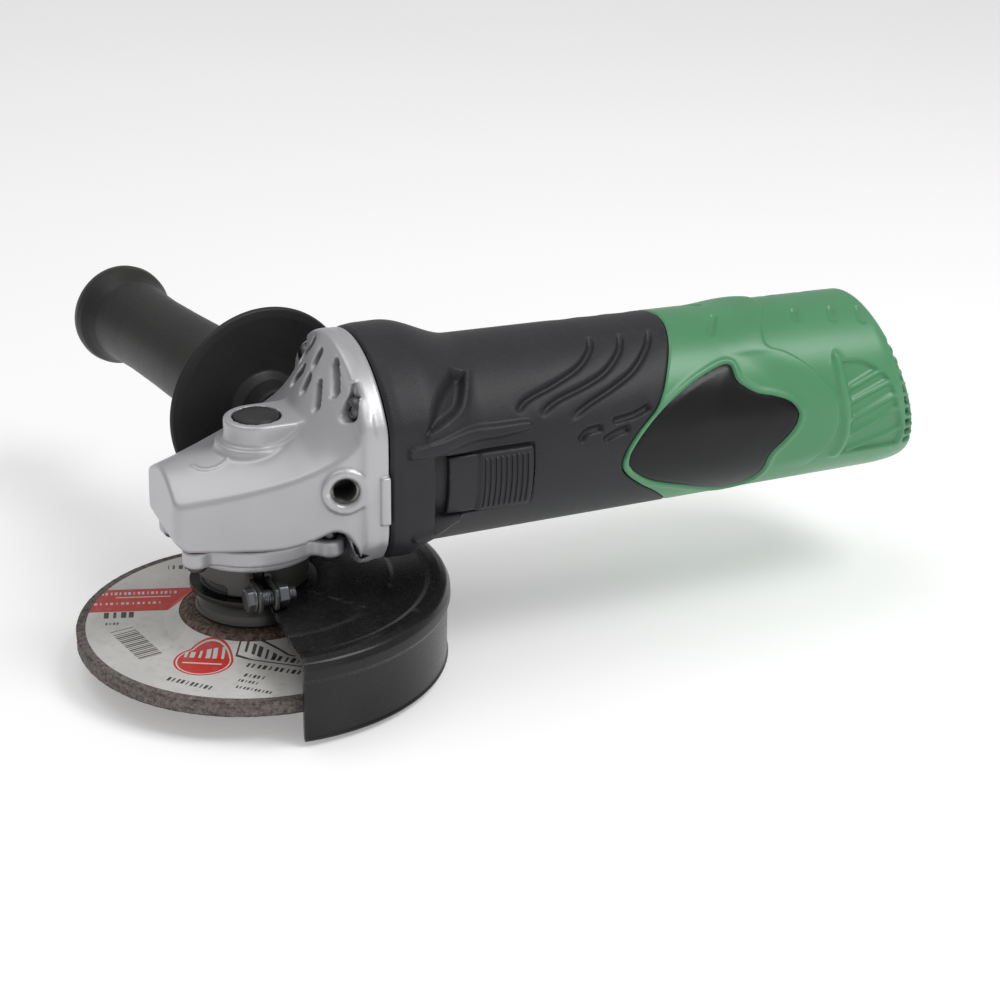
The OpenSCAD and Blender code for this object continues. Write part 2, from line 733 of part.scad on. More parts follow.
module handle_grip() {
    stop_at = 12.2;
    color("dimgray") on_handle(1) translate([0, 0, socket_face]) rotate_extrude()
        polygon([[socket_r - run_gap, free_gap], [9.5, free_gap], [10.5, 8], [13, stop_at - 1.5],
            [stop_r - 2, stop_at - 1], [stop_r, stop_at + 0.6], [stop_r - 0.4, stop_at + 2.2],
            [18, stop_at + 4.4], [grip_r, stop_at + 9], [grip_r, handle_len * 0.45],
            [grip_r - 1, handle_len * 0.75], [grip_r - 0.6, handle_len - 12],
            [knob_r - 1.2, handle_len - 8], [knob_r, handle_len - 5],
            [knob_r - 0.8, handle_len - 1.6], [knob_r - 3.4, handle_len], [0, handle_len],
            [0, 40], [socket_r - run_gap, 40]]);
}

module handle_stud() {
    color("silver") on_handle(1) translate([0, 0, socket_face - socket_depth + 1])
        cylinder(r = socket_r - run_gap, h = socket_depth - 1 + 40);
}

/* ---- motor housing ---- */

module barrel(grow, from_x, to_x) {
    on_motor(from_x) cylinder(r1 = barrel_at(from_x) + grow, r2 = barrel_at(to_x) + grow,
        h = to_x - from_x);
}

// A sector of the barrel between two angles from the top towards -Y, side -1 mirrors it to +Y
module barrel_sector(from_x, length, r_in, r_out, from_angle, to_angle) {
    on_motor(from_x) rotate([0, 0, 180 + from_angle]) rotate_extrude(angle = to_angle - from_angle)
        polygon([[r_in, 0], [r_out, 0], [r_out, length], [r_in, length]]);
}

module motor_housing() {
    knob_end = knob_x + knob_len + free_gap;
    color("#38393b") difference() {
        union() {
            difference() {
                union() {
                    slab(joint_x, bulge_x - joint_x) flange_outline(0.2);
                    hull() {
                        slab(bulge_x - 1, 1) flange_outline(-0.3);
                        on_motor(barrel_x) cylinder(r = barrel_at(barrel_x) - 0.2, h = 0.5, $fn = 32);
                    }
                    intersection() {
                        barrel(0, barrel_x, split_x + 1);
                        ahead_of_split();
                    }
                }
                on_motor(joint_x - 1) cylinder(r = bulge_in_r, h = barrel_x - 8 - joint_x + 1);
                barrel(-wall, barrel_x - 9, split_x + 10);
            }
            // Ribs that hold the stator
            for (turn = [45:90:315]) intersection() {
                on_motor(stator_x) rotate([0, 0, turn]) translate([stator_r, -2, 0])
                    cube([10, 4, stator_len]);
                barrel(-wall + 0.5, stator_x, stator_x + stator_len);
            }
            // Inner sleeve that the tail cover slides over, with the bridge for the rear bearing
            on_motor(sleeve_x) tube(sleeve_r, sleeve_r - sleeve_wall, bridge_end_x - sleeve_x);
            on_motor(sleeve_x) tube(barrel_at(sleeve_x) - wall + 0.4, sleeve_r - sleeve_wall, 3);
            on_motor(bridge_x) tube(rear_sleeve_r + 2.4, rear_sleeve_r, bridge_end_x - bridge_x);
            for (turn = [0:90:270]) on_motor(bridge_x) rotate([0, 0, turn])
                translate([rear_sleeve_r + 1, -3.6, 0])
                    cube([sleeve_r - rear_sleeve_r - 1.5, 7.2, bridge_end_x - bridge_x]);
        }
        // Screw holes, knob pocket, and the slots for the knob's neck and the bar
        for (p = case_screws_at) slab(joint_x - 1, case_screw_len) translate(p) circle(r = case_screw_r);
        barrel_sector(knob_x - switch_travel - free_gap, knob_len + switch_travel + 2 * free_gap,
            barrel_at(knob_x) - knob_pocket, barrel_at(knob_x) + 12, knob_from - 1, knob_to + 1);
        translate([knob_x - 1, -45, axis_z + bar_z - 0.4])
            cube([knob_end - knob_x - 4, 20, bar_w + 0.8]);
        translate([sleeve_x - 1, bar_y - 3, axis_z + bar_z - 0.5])
            cube([60, 6, bar_w + 1]);
        translate([rear_bearing_x + 1, 0, axis_z - sleeve_r - 1])
            cylinder(r = 2 + run_gap, h = 14);
    }
}

/* ---- armature group ---- */

module armature_shaft() {
    color("silver") {
        on_motor(pinion_nut_x - 0.8) cylinder(r = pinion_bore_r, h = front_bearing_x - pinion_nut_x + 1);
        on_motor(front_bearing_x) cylinder(r = shaft_r, h = rear_bearing_x - front_bearing_x - 1.5);
        on_motor(rear_bearing_x - 2) cylinder(r = rear_seat_r, h = rear_bearing_w + 2);
    }
}

module armature_core() {
    slots = 12;
    color("slategray") on_motor(stator_x + 1) difference() {
        cylinder(r = armature_r, h = stator_len - 2);
        translate([0, 0, -1]) cylinder(r = shaft_r, h = stator_len + 2);
        for (i = [0:slots - 1]) rotate([0, 0, (i + 0.5) * 360 / slots])
            translate([armature_r - 4, -1, -1]) cube([6, 2, stator_len + 2]);
    }
}

module armature_windings() {
    head = 7;
    outer = armature_r - 1.5;
    color("peru") {
        on_motor(stator_x + 1 - head) rotate_extrude() polygon([[shaft_r, 1], [outer - 3, 0],
            [outer, 2], [outer, head], [shaft_r, head]]);
        on_motor(stator_x + stator_len - 1) rotate_extrude() polygon([[shaft_r, 0], [outer, 0],
            [outer, head - 2], [outer - 3, head], [shaft_r, head - 1]]);
    }
}

module commutator() {
    color("peru") on_motor(commutator_x) difference() {
        cylinder(r = commutator_r, h = commutator_len);
        translate([0, 0, -1]) cylinder(r = shaft_r, h = commutator_len + 2);
        for (i = [0:commutator_bars - 1]) rotate([0, 0, i * 360 / commutator_bars])
            translate([commutator_r - 0.8, -0.25, -1]) cube([2, 0.5, commutator_len + 2]);
    }
}

module fan() {
    plate = 1.6;
    hub_r = shaft_r + 3;
    color("black") on_motor(fan_x) difference() {
        union() {
            cylinder(r = fan_r, h = plate);
            cylinder(r = hub_r, h = fan_len);
            for (i = [0:fan_blades - 1]) rotate([0, 0, i * 360 / fan_blades])
                translate([hub_r - 1, -0.7, 0]) cube([fan_r - hub_r, 1.4, fan_len]);
        }
        translate([0, 0, -1]) cylinder(r = shaft_r, h = fan_len + 2);
    }
}

module pinion() {
    root_r = cone_r * sin(pinion_angle) - dedendum * cos(pinion_angle);
    root_x = cone_r * cos(pinion_angle) + dedendum * sin(pinion_angle);
    nut_face = pinion_nut_x + pinion_nut_len;
    color("darkgray") on_motor(0) {
        rotate_extrude() polygon([[pinion_bore_r, nut_face], [toe * root_r, nut_face],
            [toe * root_r, toe * root_x], [root_r, root_x], [root_r, front_bearing_x],
            [pinion_bore_r, front_bearing_x]]);
        for (i = [0:pinion_teeth - 1]) rotate([0, 0, i * 360 / pinion_teeth])
            bevel_tooth(pinion_angle);
    }
}

module pinion_nut() {
    color("silver") on_motor(pinion_nut_x) difference() {
        cylinder(r = 4.6, h = pinion_nut_len, $fn = 6);
        translate([0, 0, -1]) cylinder(r = pinion_bore_r, h = pinion_nut_len + 2);
    }
}

module front_bearing_outer() {
    color("silver") on_motor(front_bearing_x) bearing_outer(front_bearing_r, shaft_r, front_bearing_w);
}

module front_bearing_inner() {
    color("silver") on_motor(front_bearing_x) bearing_inner(front_bearing_r, shaft_r, front_bearing_w);
}

module rear_bearing_outer() {
    color("silver") on_motor(rear_bearing_x) bearing_outer(rear_bearing_r, rear_seat_r, rear_bearing_w);
}

module rear_bearing_inner() {
    color("silver") on_motor(rear_bearing_x) bearing_inner(rear_bearing_r, rear_seat_r, rear_bearing_w);
}

module rear_bearing_sleeve() {
    color("black") on_motor(rear_bearing_x) tube(rear_sleeve_r, rear_bearing_r, rear_bearing_w);
}

module bearing_retainer() {
    color("gray") on_motor(front_bearing_x + front_bearing_w) difference() {
        cylinder(r = retainer_r, h = retainer_t);
        translate([0, 0, -1]) cylinder(r = front_bearing_r - 3, h = 4);
        for (turn = [45:90:315]) rotate([0, 0, turn]) translate([front_bearing_r + 2.3, 0, -1])
            cylinder(r = retainer_screw_r + run_gap, h = 4);
    }
}

module retainer_screws() {
    color("slategray") for (turn = [45:90:315])
        on_motor(front_bearing_x + front_bearing_w - retainer_grip) rotate([0, 0, turn])
            translate([front_bearing_r + 2.3, 0, 0])
                screw(retainer_screw_r, 2, 1.4, retainer_grip + retainer_t);
}

/* ---- stator, brushes ---- */

module fan_guide() {
    color("black") on_motor(guide_x) tube(bulge_in_r, 19, guide_t);
}

// The poles, as a wedge to each side along Z
module pole_wedges(angle, r_in, r_out, length) {
    for (turn = [0, 180]) rotate([0, 0, turn - angle / 2]) rotate_extrude(angle = angle)
        polygon([[r_in, 0], [r_out, 0], [r_out, length], [r_in, length]]);
}

module stator_core() {
    yoke = 4.1;
    color("slategray") on_motor(stator_x) difference() {
        union() {
            tube(stator_r, stator_r - yoke, stator_len);
            translate([0, 0, 0.2])
                pole_wedges(pole_angle, armature_r + air_gap, stator_r - yoke + 0.2, stator_len - 0.4);
        }
        for (side = [-1, 1]) translate([0, side * (stator_r - 1.9), -1])
            cylinder(r = 1.5, h = stator_len + 2);
    }
}

module stator_coils() {
    color("peru") on_motor(stator_x - coil_reach) difference() {
        pole_wedges(coil_angle, armature_r + air_gap + 0.6, stator_r - 4.1 - free_gap,
            stator_len + 2 * coil_reach);
        translate([0, 0, coil_reach - free_gap])
            pole_wedges(pole_angle + 2, armature_r, stator_r, stator_len + 2 * free_gap);
    }
}

module stator_screws() {
    color("slategray") on_motor(stator_x - coil_reach) for (side = [-1, 1])
        translate([0, side * (stator_r - 1.9), stator_len + coil_reach]) rotate([180, 0, 0])
            screw(1.5, 1.8, 2, stator_len);
}

module brush_holders() {
    hold = 1.4;
    low = brush_z + 2;
    color("goldenrod") for (side = [-1, 1]) mirror([0, 0, side < 0 ? 1 : 0])
        translate([brush_x, 0, side * axis_z + low]) difference() {
            translate([-brush_w / 2 - hold, -brush_w / 2 - hold, 0])
                cube([brush_w + 2 * hold, brush_w + 2 * hold, brush_len]);
            translate([-brush_w / 2, -brush_w / 2, -1]) cube([brush_w, brush_w, brush_len + 2]);
        }
}

module carbon_brushes() {
    color("#303030") for (side = [-1, 1]) mirror([0, 0, side < 0 ? 1 : 0])
        translate([brush_x - brush_w / 2 + run_gap, -brush_w / 2 + run_gap, side * axis_z + brush_z])
            cube([brush_w - 2 * run_gap, brush_w - 2 * run_gap, brush_len - 2]);
}

module brush_springs() {
    color("silver") for (side = [-1, 1]) mirror([0, 0, side < 0 ? 1 : 0])
        translate([brush_x, 0, side * axis_z + brush_z + brush_len - 2])
            ring_coil(2, 0.35, 3.6, 3);
}

/* ---- switch ---- */

module switch_knob() {
    pad_r = barrel_at(knob_x) - knob_pocket + 0.1;
    step_x = knob_x + 10;
    rib_pitch = 2;
    color("#303234") {
        difference() {
            union() {
                barrel_sector(knob_x, knob_len, pad_r, barrel_at(knob_x) + 0.2, knob_from, knob_to);
                barrel_sector(step_x, knob_x + knob_len - step_x, pad_r, barrel_at(knob_x) + 1.9,
                    knob_from, knob_to);
            }
            for (i = [0:7]) barrel_sector(step_x + 1.6 + i * rib_pitch, 0.8,
                barrel_at(knob_x) + 1.2, 50, knob_from - 1, knob_to + 1);
        }
        translate([neck_x, -pad_r + 0.6, axis_z + bar_z])
            cube([knob_x + knob_len - 6 - neck_x, bar_y + pad_r - 0.6, bar_w]);
    }
}

module slide_bar() {
    color("#46484a") {
        translate([neck_x, bar_y, axis_z + bar_z])
            cube([lever_x + fork_gap / 2 + fork_wall - neck_x, bar_t, bar_w]);
        for (x = [-fork_gap / 2 - fork_wall, fork_gap / 2]) translate([lever_x + x, bar_y, axis_z + bar_z])
            cube([fork_wall, bar_t + fork_in, bar_w]);
    }
}

module switch_body() {
    front = lever_x + 3;
    cheek = 1.6;
    color("#2f3133") difference() {
        union() {
            translate([front, lever_y - 5, axis_z + lever_z - 8]) cube([30, 20, 17]);
            for (side = [-1, 1]) translate([lever_x - 2.2, lever_y - 2.4,
                axis_z + lever_z + side * 3.4 - cheek / 2])
                cube([front - lever_x + 3, 4.8, cheek]);
        }
        translate([lever_x, lever_y, axis_z + lever_z - 10]) cylinder(r = 1.2 + run_gap, h = 20);
    }
}

module switch_lever() {
    color("ivory") {
        translate([lever_x, lever_y, axis_z + lever_z - 4.1]) cylinder(r = 1.2, h = 8.2);
        translate([lever_x - 0.9, lever_y - lever_len, axis_z + lever_z - 1.6])
            cube([1.8, lever_len, 3.2]);
        for (y = [lever_y, lever_y - lever_len]) translate([lever_x, y, axis_z + lever_z - 1.6])
            cylinder(r = lever_tip_r, h = 3.2);
    }
}

/* ---- tail ---- */

module tail_solid(grow) {
    end_r = tail_r - 7 + grow;
    barrel(grow, sleeve_x - 5, tail_round_x + 0.5);
    hull() {
        on_motor(tail_round_x) cylinder(r = barrel_at(tail_round_x) + grow - 0.05, h = 0.5, $fn = 32);
        translate([end_disc_x + grow, 0, axis_z - 1.6]) rotate([0, 90 - tail_slant, 0])
            translate([0, 0, -4]) cylinder(r1 = end_r + 4.5, r2 = end_r, h = 4, $fn = 32);
    }
}

module tail_cover() {
    boss_r = bush_r + 2.2;
    color("#5fae80") difference() {
        union() {
            difference() {
                tail_solid(0);
                tail_solid(-wall);
                ahead_of_split();
            }
            // Tube for the cord bush and saddle for the cord clamp
            translate([bush_x, 0, inlet_z]) rotate([0, 90, 0])
                cylinder(r = boss_r, h = end_disc_x - wall - bush_x + 1);
            translate([clamp_x - 4, -9, axis_z - tail_r + 1.5])
                cube([8, 18, tail_r - 1.5 - inlet_drop - bush_bore_r - 0.5]);
        }
        translate([bush_x - 1, 0, inlet_z]) rotate([0, 90, 0]) cylinder(r = bush_r, h = 60);
        for (side = [-1, 1]) translate([clamp_x, side * 6.6, inlet_z - 12])
            cylinder(r = 1.3 + run_gap, h = 20);
        // Slanted air slots on both sides, and a row of slots down the rear edge
        for (i = [0:slot_count - 1]) translate([tail_x - 24, 50, axis_z + 12 - 6 * i])
            rotate([0, 35, 0]) cube([14, 60, 2.6], center = true);
        for (i = [0:slot_count - 1]) translate([tail_x - 24, -50, axis_z + 12 - 6 * i])
            rotate([0, 35, 0]) cube([14, 60, 2.6], center = true);
        translate([rear_bearing_x + 1, 0, axis_z - 40]) {
            cylinder(r = 2 + run_gap, h = 20);
            cylinder(r = 3.8, h = 40 - barrel_at(rear_bearing_x) + 1.2);
        }
    }
}

module tail_screw() {
    length = 9.8;
    color("slategray") translate([rear_bearing_x + 1, 0,
        axis_z - barrel_at(rear_bearing_x) + 1.2 + length]) rotate([180, 0, 0])
        screw(2, 3.5, 1, length);
}

module terminal_block() {
    color("ivory") difference() {
        translate([lever_x + 8, 6, axis_z - 10]) cube([16, 14, 14]);
        for (x = [4, 12]) translate([lever_x + 8 + x, 13, axis_z - 3]) cylinder(r = 2, h = 10);
    }
}

module suppressor() {
    color("gold") translate([lever_x + 6, 9, axis_z + 14.5]) rotate([0, 90, 0]) cylinder(r = 6, h = 24);
}

module cord_clamp() {
    color("#303234") translate([clamp_x, 0, inlet_z + bush_bore_r - 0.4]) difference() {
        translate([-4, -9, 0]) cube([8, 18, 3]);
        for (side = [-1, 1]) translate([0, side * 6.6, -1]) cylinder(r = 1.3 + run_gap, h = 6);
    }
}

module cord_clamp_screws() {
    length = 15;
    color("slategray") for (side = [-1, 1])
        translate([clamp_x, side * 6.6, inlet_z + bush_bore_r + 2.6 - length])
            screw(1.3, 2.3, 1.6, length);
}

module cord_bush() {
    color("#222222") translate([bush_x, 0, inlet_z]) rotate([0, 90, 0]) {
        tube(bush_r, bush_bore_r, end_disc_x + 1.2 - bush_x);
        translate([0, 0, -2]) tube(bush_r + 2, bush_bore_r, 2);
    }
}

module badge(side) {
    thick = 1;
    from_x = split_x - 25;
    length = 67;
    color("black") intersection() {
        difference() {
            barrel(thick, from_x, from_x + length);
            barrel(0, from_x - 1, from_x + length + 1);
        }
        translate([split_x, side > 0 ? 45 : -5, axis_z]) rotate([90, 0, 0])
            linear_extrude(40) polygon(badge_line);
    }
}

module badge_near() {
    badge(-1);
}

module badge_far() {
    badge(1);
}

gear_case();
lock_button();
lock_pin();
lock_spring();
case_screws();
bearing_cover();
cover_screws();
spindle_bearing_outer();
spindle_bearing_inner();
spindle_bush();
spindle_seal();
spindle();
ring_gear();
inner_flange();
wheel();
wheel_label();
wheel_bush();
wheel_nut();
guard();
guard_clamp();
guard_clamp_screw();
guard_clamp_nut();
handle_grip();
handle_stud();
motor_housing();
armature_shaft();
armature_core();
armature_windings();
commutator();
fan();
pinion();
pinion_nut();
front_bearing_outer();
front_bearing_inner();
rear_bearing_outer();
rear_bearing_inner();
rear_bearing_sleeve();
bearing_retainer();
retainer_screws();
fan_guide();
stator_core();
stator_coils();
stator_screws();
brush_holders();
carbon_brushes();
brush_springs();
switch_knob();
slide_bar();
switch_body();
switch_lever();
terminal_block();
suppressor();
cord_clamp();
cord_clamp_screws();
cord_bush();
tail_cover();
tail_screw();
badge_near();
badge_far();
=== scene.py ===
# %% [markdown]
# # Angle grinder with a 115 mm wheel
# The drawing of every working part was made in CAD and arrives here as a fixed frame: gears, motor,
# bearings, screws. What is left for Blender is the outside: soft plastic shells, a painted die
# casting, a pressed guard, a moulded handle and the finish of everything. Each step builds one
# piece in place, in the frame of the CAD model. The origin is the centre of the spindle's free end,
# X runs from nose to tail, Y towards the side handle, Z up.

# %% Import the tools and load the frame
import math

import bmesh
import bpy
import numpy as np
import openvdb
from mathutils import Matrix, Vector, geometry


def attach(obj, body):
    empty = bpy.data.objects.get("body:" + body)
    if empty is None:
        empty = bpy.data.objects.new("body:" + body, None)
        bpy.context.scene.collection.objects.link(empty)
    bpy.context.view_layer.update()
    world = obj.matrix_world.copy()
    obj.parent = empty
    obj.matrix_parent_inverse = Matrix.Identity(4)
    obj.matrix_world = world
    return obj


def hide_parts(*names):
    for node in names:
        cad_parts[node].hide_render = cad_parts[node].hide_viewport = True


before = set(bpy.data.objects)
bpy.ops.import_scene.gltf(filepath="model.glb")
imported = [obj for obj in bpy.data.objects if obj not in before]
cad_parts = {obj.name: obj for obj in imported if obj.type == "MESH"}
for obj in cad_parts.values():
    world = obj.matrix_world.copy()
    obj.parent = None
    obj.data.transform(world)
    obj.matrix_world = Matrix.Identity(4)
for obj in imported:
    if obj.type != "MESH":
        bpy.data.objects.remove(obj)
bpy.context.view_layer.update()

# %% [markdown]
# ## Sizes shared by several pieces
# All shapes below are worked out in millimetres because the numbers are easier to read, and scaled
# to metres when the mesh is made. The motor axis lies 63 mm above the spindle's end, and the barrel
# tapers slightly towards the tail.

# %% Shared sizes, in millimetres
MM = 0.001
AXIS_Z = 63.0
JOINT_X = 35.0                       # gear case and motor housing meet here
JOINT_GAP = 0.15                     # each shell keeps this clear of a joint
BARREL_X, TAIL_X = 68.0, 231.0       # ends of the taper
BARREL_R, TAIL_R = 33.0, 30.8
HANDLE_LEAN = math.radians(11.75)    # the side handle leans towards the nose
HANDLE_X = 27.75                     # where its axis crosses the motor axis
BUTTON_X = 2.8                       # the lock button's axis
CLAMP_X, CLAMP_Y, CLAMP_Z = -3.3, -25.0, 27.6    # the clamp's gap, and its screw's axis along X


def barrel_at(x):
    """Radius of the barrel at a place along X."""
    return BARREL_R + (TAIL_R - BARREL_R) * (x - BARREL_X) / (TAIL_X - BARREL_X)


def smooth(a, b, t):
    """0 below a, 1 above b and an even S between."""
    t = np.clip((t - a) / (b - a), 0, 1)
    return t * t * (3 - 2 * t)


# %% [markdown]
# ## Making meshes from numbers
# Most pieces here are grids: rows of points that a rule puts in space, joined by quads. A grid that
# closes on itself in one direction makes a tube, and in both directions a ring. Edges sharper than
# an angle are marked so that flat faces stay crisp while curved ones shade smoothly.

# %% Mesh helpers
def make_piece(name, points, faces, body, slot, sharp=32):
    """A mesh object from points in millimetres, riding on a CAD body, in the finish of its slot."""
    mesh = bpy.data.meshes.new(name)
    mesh.from_pydata((np.asarray(points, float) * MM).tolist(), [], [tuple(map(int, f)) for f in faces])
    mesh.validate()
    piece = bpy.data.objects.new(name, mesh)
    bpy.context.scene.collection.objects.link(piece)
    settle(piece, sharp)
    mesh.materials.append(FINISH[slot])
    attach(piece, body)
    return piece


def settle(piece, sharp=32):
    """Faces turned outwards, smooth shading with sharp edges over an angle."""
    shape = bmesh.new()
    shape.from_mesh(piece.data)
    bmesh.ops.remove_doubles(shape, verts=shape.verts, dist=1e-7)
    bmesh.ops.recalc_face_normals(shape, faces=shape.faces)
    shape.to_mesh(piece.data)
    shape.free()
    piece.data.shade_smooth()
    piece.data.set_sharp_from_angle(angle=math.radians(sharp))


def grid_faces(rows, columns, close_rows=False, close_columns=False):
    """Quads of a grid of points that was listed row by row."""
    r = np.arange(rows if close_rows else rows - 1)
    c = np.arange(columns if close_columns else columns - 1)
    r, c = np.meshgrid(r, c, indexing="ij")
    r2, c2 = (r + 1) % rows, (c + 1) % columns
    quads = np.stack([r * columns + c, r * columns + c2, r2 * columns + c2, r2 * columns + c], -1)
    return [tuple(quad) for quad in quads.reshape(-1, 4)]


def end_faces(rows, columns):
    """The first and the last row of a grid, each closed by one face."""
    return [tuple(row * columns + i for i in range(columns)) for row in (0, rows - 1)]


def rounded(corners, radius, steps=4):
    """A closed outline with its corners rounded. radius is one number, or one for each corner."""
    corners = np.asarray(corners, float)
    radii = np.full(len(corners), radius, float) if np.isscalar(radius) else np.asarray(radius, float)
    out = []
    for i, p in enumerate(corners):
        a, b = corners[i - 1] - p, corners[(i + 1) % len(corners)] - p
        la, lb = np.linalg.norm(a), np.linalg.norm(b)
        half = math.acos(np.clip(np.dot(a, b) / (la * lb), -1, 1)) / 2
        reach = min(radii[i] / max(math.tan(half), 1e-3), 0.48 * la, 0.48 * lb)
        if reach < 1e-4:
            out.append(p)
            continue
        p0, p1 = p + a / la * reach, p + b / lb * reach
        for t in np.linspace(0, 1, steps + 1):
            out.append((1 - t) ** 2 * p0 + 2 * t * (1 - t) * p + t ** 2 * p1)
    return np.array(out)


def turned(name, outline, body, slot, segments=160, angle=2 * math.pi, start=0.0, place=None, sharp=32):
    """An outline of (radius, height) turned round Z: a full ring, or part of one with flat ends."""
    whole = abs(angle - 2 * math.pi) < 1e-6
    turns = start + np.linspace(0, angle, segments, endpoint=not whole)
    outline = np.asarray(outline, float)
    ring = np.stack([np.outer(np.cos(turns), outline[:, 0]), np.outer(np.sin(turns), outline[:, 0]),
                     np.tile(outline[:, 1], (segments, 1))], -1)
    points = ring.reshape(-1, 3)
    if place is not None:
        points = place(points)
    faces = grid_faces(segments, len(outline), whole, True)
    if not whole:
        faces += end_faces(segments, len(outline))
    return make_piece(name, points, faces, body, slot, sharp)


# %% [markdown]
# ## Shapes from distances
# A casting has round blends everywhere, which are hard to model face by face. A distance field
# makes them easy: it says for any point how far outside the surface it is. The smaller of two
# distances joins two shapes, the larger cuts one by the other, and a softened smaller or larger
# leaves a fillet. OpenVDB then lays a mesh where it is zero.

# %% Distance helpers
def join(a, b, blend=0.0):
    """Two shapes together, with a fillet of about that radius."""
    if not blend:
        return np.minimum(a, b)
    h = np.clip(0.5 + 0.5 * (b - a) / blend, 0, 1)
    return b * (1 - h) + a * h - blend * h * (1 - h)


def cut(a, b, blend=0.0):
    """The first shape with the second taken away."""
    return -join(-a, b, blend)


def both(a, b, blend=0.0):
    """Only what lies in both shapes."""
    return -join(-a, -b, blend)


def far(*parts):
    """Length of a vector from its parts."""
    return np.sqrt(sum(part ** 2 for part in parts))


def slab_field(value, low, high):
    """Distance to the layer between two values of one coordinate."""
    return np.maximum(low - value, value - high)


def mesh_field(name, field, low, high, step, body, slot, sharp=38):
    """Meshes the zero surface of a field(x, y, z) in a box, in millimetres."""
    axes = [np.arange(a, b + step, step) for a, b in zip(low, high)]
    x, y, z = np.meshgrid(*axes, indexing="ij", sparse=True)
    values = np.ascontiguousarray(np.broadcast_to(field(x, y, z), [len(a) for a in axes]), np.float32)
    values[[0, -1], :, :] = values[:, [0, -1], :] = values[:, :, [0, -1]] = step
    grid = openvdb.FloatGrid(background=10.0)
    grid.copyFromArray(values)
    points, triangles, quads = grid.convertToPolygons(isovalue=0.0, adaptivity=0.0)
    points = points * step + np.array(low)
    piece = make_piece(name, points, [*triangles, *quads], body, slot, sharp)
    print(name, len(piece.data.polygons), "faces")
    return piece


# %% [markdown]
# ## Shared surface effects
# Real surfaces are never one even colour. Five small node groups give every material the same set
# of effects: fine grain that tips the normal, worn edges found from the surface's own convexity,
# slow patches of tone, dust that gathers on what faces up, and shade in slots and corners that
# little light reaches.

# %% Node groups
def new_group(name, inputs, outputs):
    """A shader node group with its sockets: (name, type, value)."""
    group = bpy.data.node_groups.new(name, "ShaderNodeTree")
    for label, kind, value in inputs:
        socket = group.interface.new_socket(label, in_out="INPUT", socket_type=kind)
        if value is not None:
            socket.default_value = value
    for label, kind in outputs:
        group.interface.new_socket(label, in_out="OUTPUT", socket_type=kind)
    return group, group.nodes.new("NodeGroupInput"), group.nodes.new("NodeGroupOutput")


def add(tree, kind, links=None, **settings):
    """A node with its settings. links maps an input to a value or to another node's output."""
    node = tree.nodes.new(kind)
    for key, value in settings.items():
        setattr(node, key, value)
    for key, value in (links or {}).items():
        socket = node.inputs[key]
        if isinstance(value, bpy.types.NodeSocket):
            tree.links.new(value, socket)
        else:
            socket.default_value = value
    return node


def maths(tree, operation, *values):
    """The output of a Math node."""
    return add(tree, "ShaderNodeMath", dict(enumerate(values)), operation=operation).outputs[0]


def ramp(tree, value, low, high, to_low=0.0, to_high=1.0):
    """A value carried from one range to another, and held inside it."""
    return add(tree, "ShaderNodeMapRange", {"Value": value, "From Min": low, "From Max": high,
                                            "To Min": to_low, "To Max": to_high}).outputs["Result"]


def in_place(tree):
    """Where the shaded point lies on its own piece, in metres."""
    return add(tree, "ShaderNodeTexCoord").outputs["Object"]


def noise(tree, scale, detail, roughness=0.5):
    """Noise in the piece's own space."""
    return add(tree, "ShaderNodeTexNoise", {"Vector": in_place(tree), "Scale": scale, "Detail": detail,
                                            "Roughness": roughness}).outputs["Fac"]


def split(tree, vector):
    """The outputs X, Y and Z of a vector."""
    return add(tree, "ShaderNodeSeparateXYZ", {0: vector}).outputs


FLOAT, VECTOR = "NodeSocketFloat", "NodeSocketVector"

# Fine grain: a bump from noise
grain, g_in, g_out = new_group("Fine grain", [("Scale", FLOAT, 900.0), ("Strength", FLOAT, 0.2),
                                             ("Depth", FLOAT, 0.0002)],
                                [("Normal", VECTOR), ("Value", FLOAT)])
grains = noise(grain, g_in.outputs["Scale"], 3.0, 0.6)
bump = add(grain, "ShaderNodeBump", {"Strength": g_in.outputs["Strength"], "Distance": g_in.outputs["Depth"],
                                     "Height": grains})
grain.links.new(bump.outputs["Normal"], g_out.inputs["Normal"])
grain.links.new(grains, g_out.inputs["Value"])

# Worn edges: where the surface is convex, broken up by noise
wear, w_in, w_out = new_group("Worn edges", [("Low", FLOAT, 0.52), ("High", FLOAT, 0.62),
                                            ("Breakup", FLOAT, 260.0)], [("Mask", FLOAT)])
convex = add(wear, "ShaderNodeNewGeometry").outputs["Pointiness"]
edge = ramp(wear, convex, w_in.outputs["Low"], w_in.outputs["High"])
patch = ramp(wear, noise(wear, w_in.outputs["Breakup"], 2.0), 0.42, 0.62)
wear.links.new(maths(wear, "MULTIPLY", edge, patch), w_out.inputs["Mask"])

# Slow patches of tone
tone, t_in, t_out = new_group("Slow tone", [("Scale", FLOAT, 30.0)], [("Value", FLOAT)])
tone.links.new(ramp(tone, noise(tone, t_in.outputs["Scale"], 4.0), 0.35, 0.65), t_out.inputs["Value"])

# Dust on what faces up
dust, d_in, d_out = new_group("Settled dust", [("Amount", FLOAT, 0.1)], [("Mask", FLOAT)])
upward = ramp(dust, split(dust, add(dust, "ShaderNodeNewGeometry").outputs["Normal"])["Z"], 0.3, 1.0)
lying = maths(dust, "MULTIPLY", upward, ramp(dust, noise(dust, 420.0, 5.0), 0.5, 0.75))
dust.links.new(maths(dust, "MULTIPLY", lying, d_in.outputs["Amount"]), d_out.inputs["Mask"])

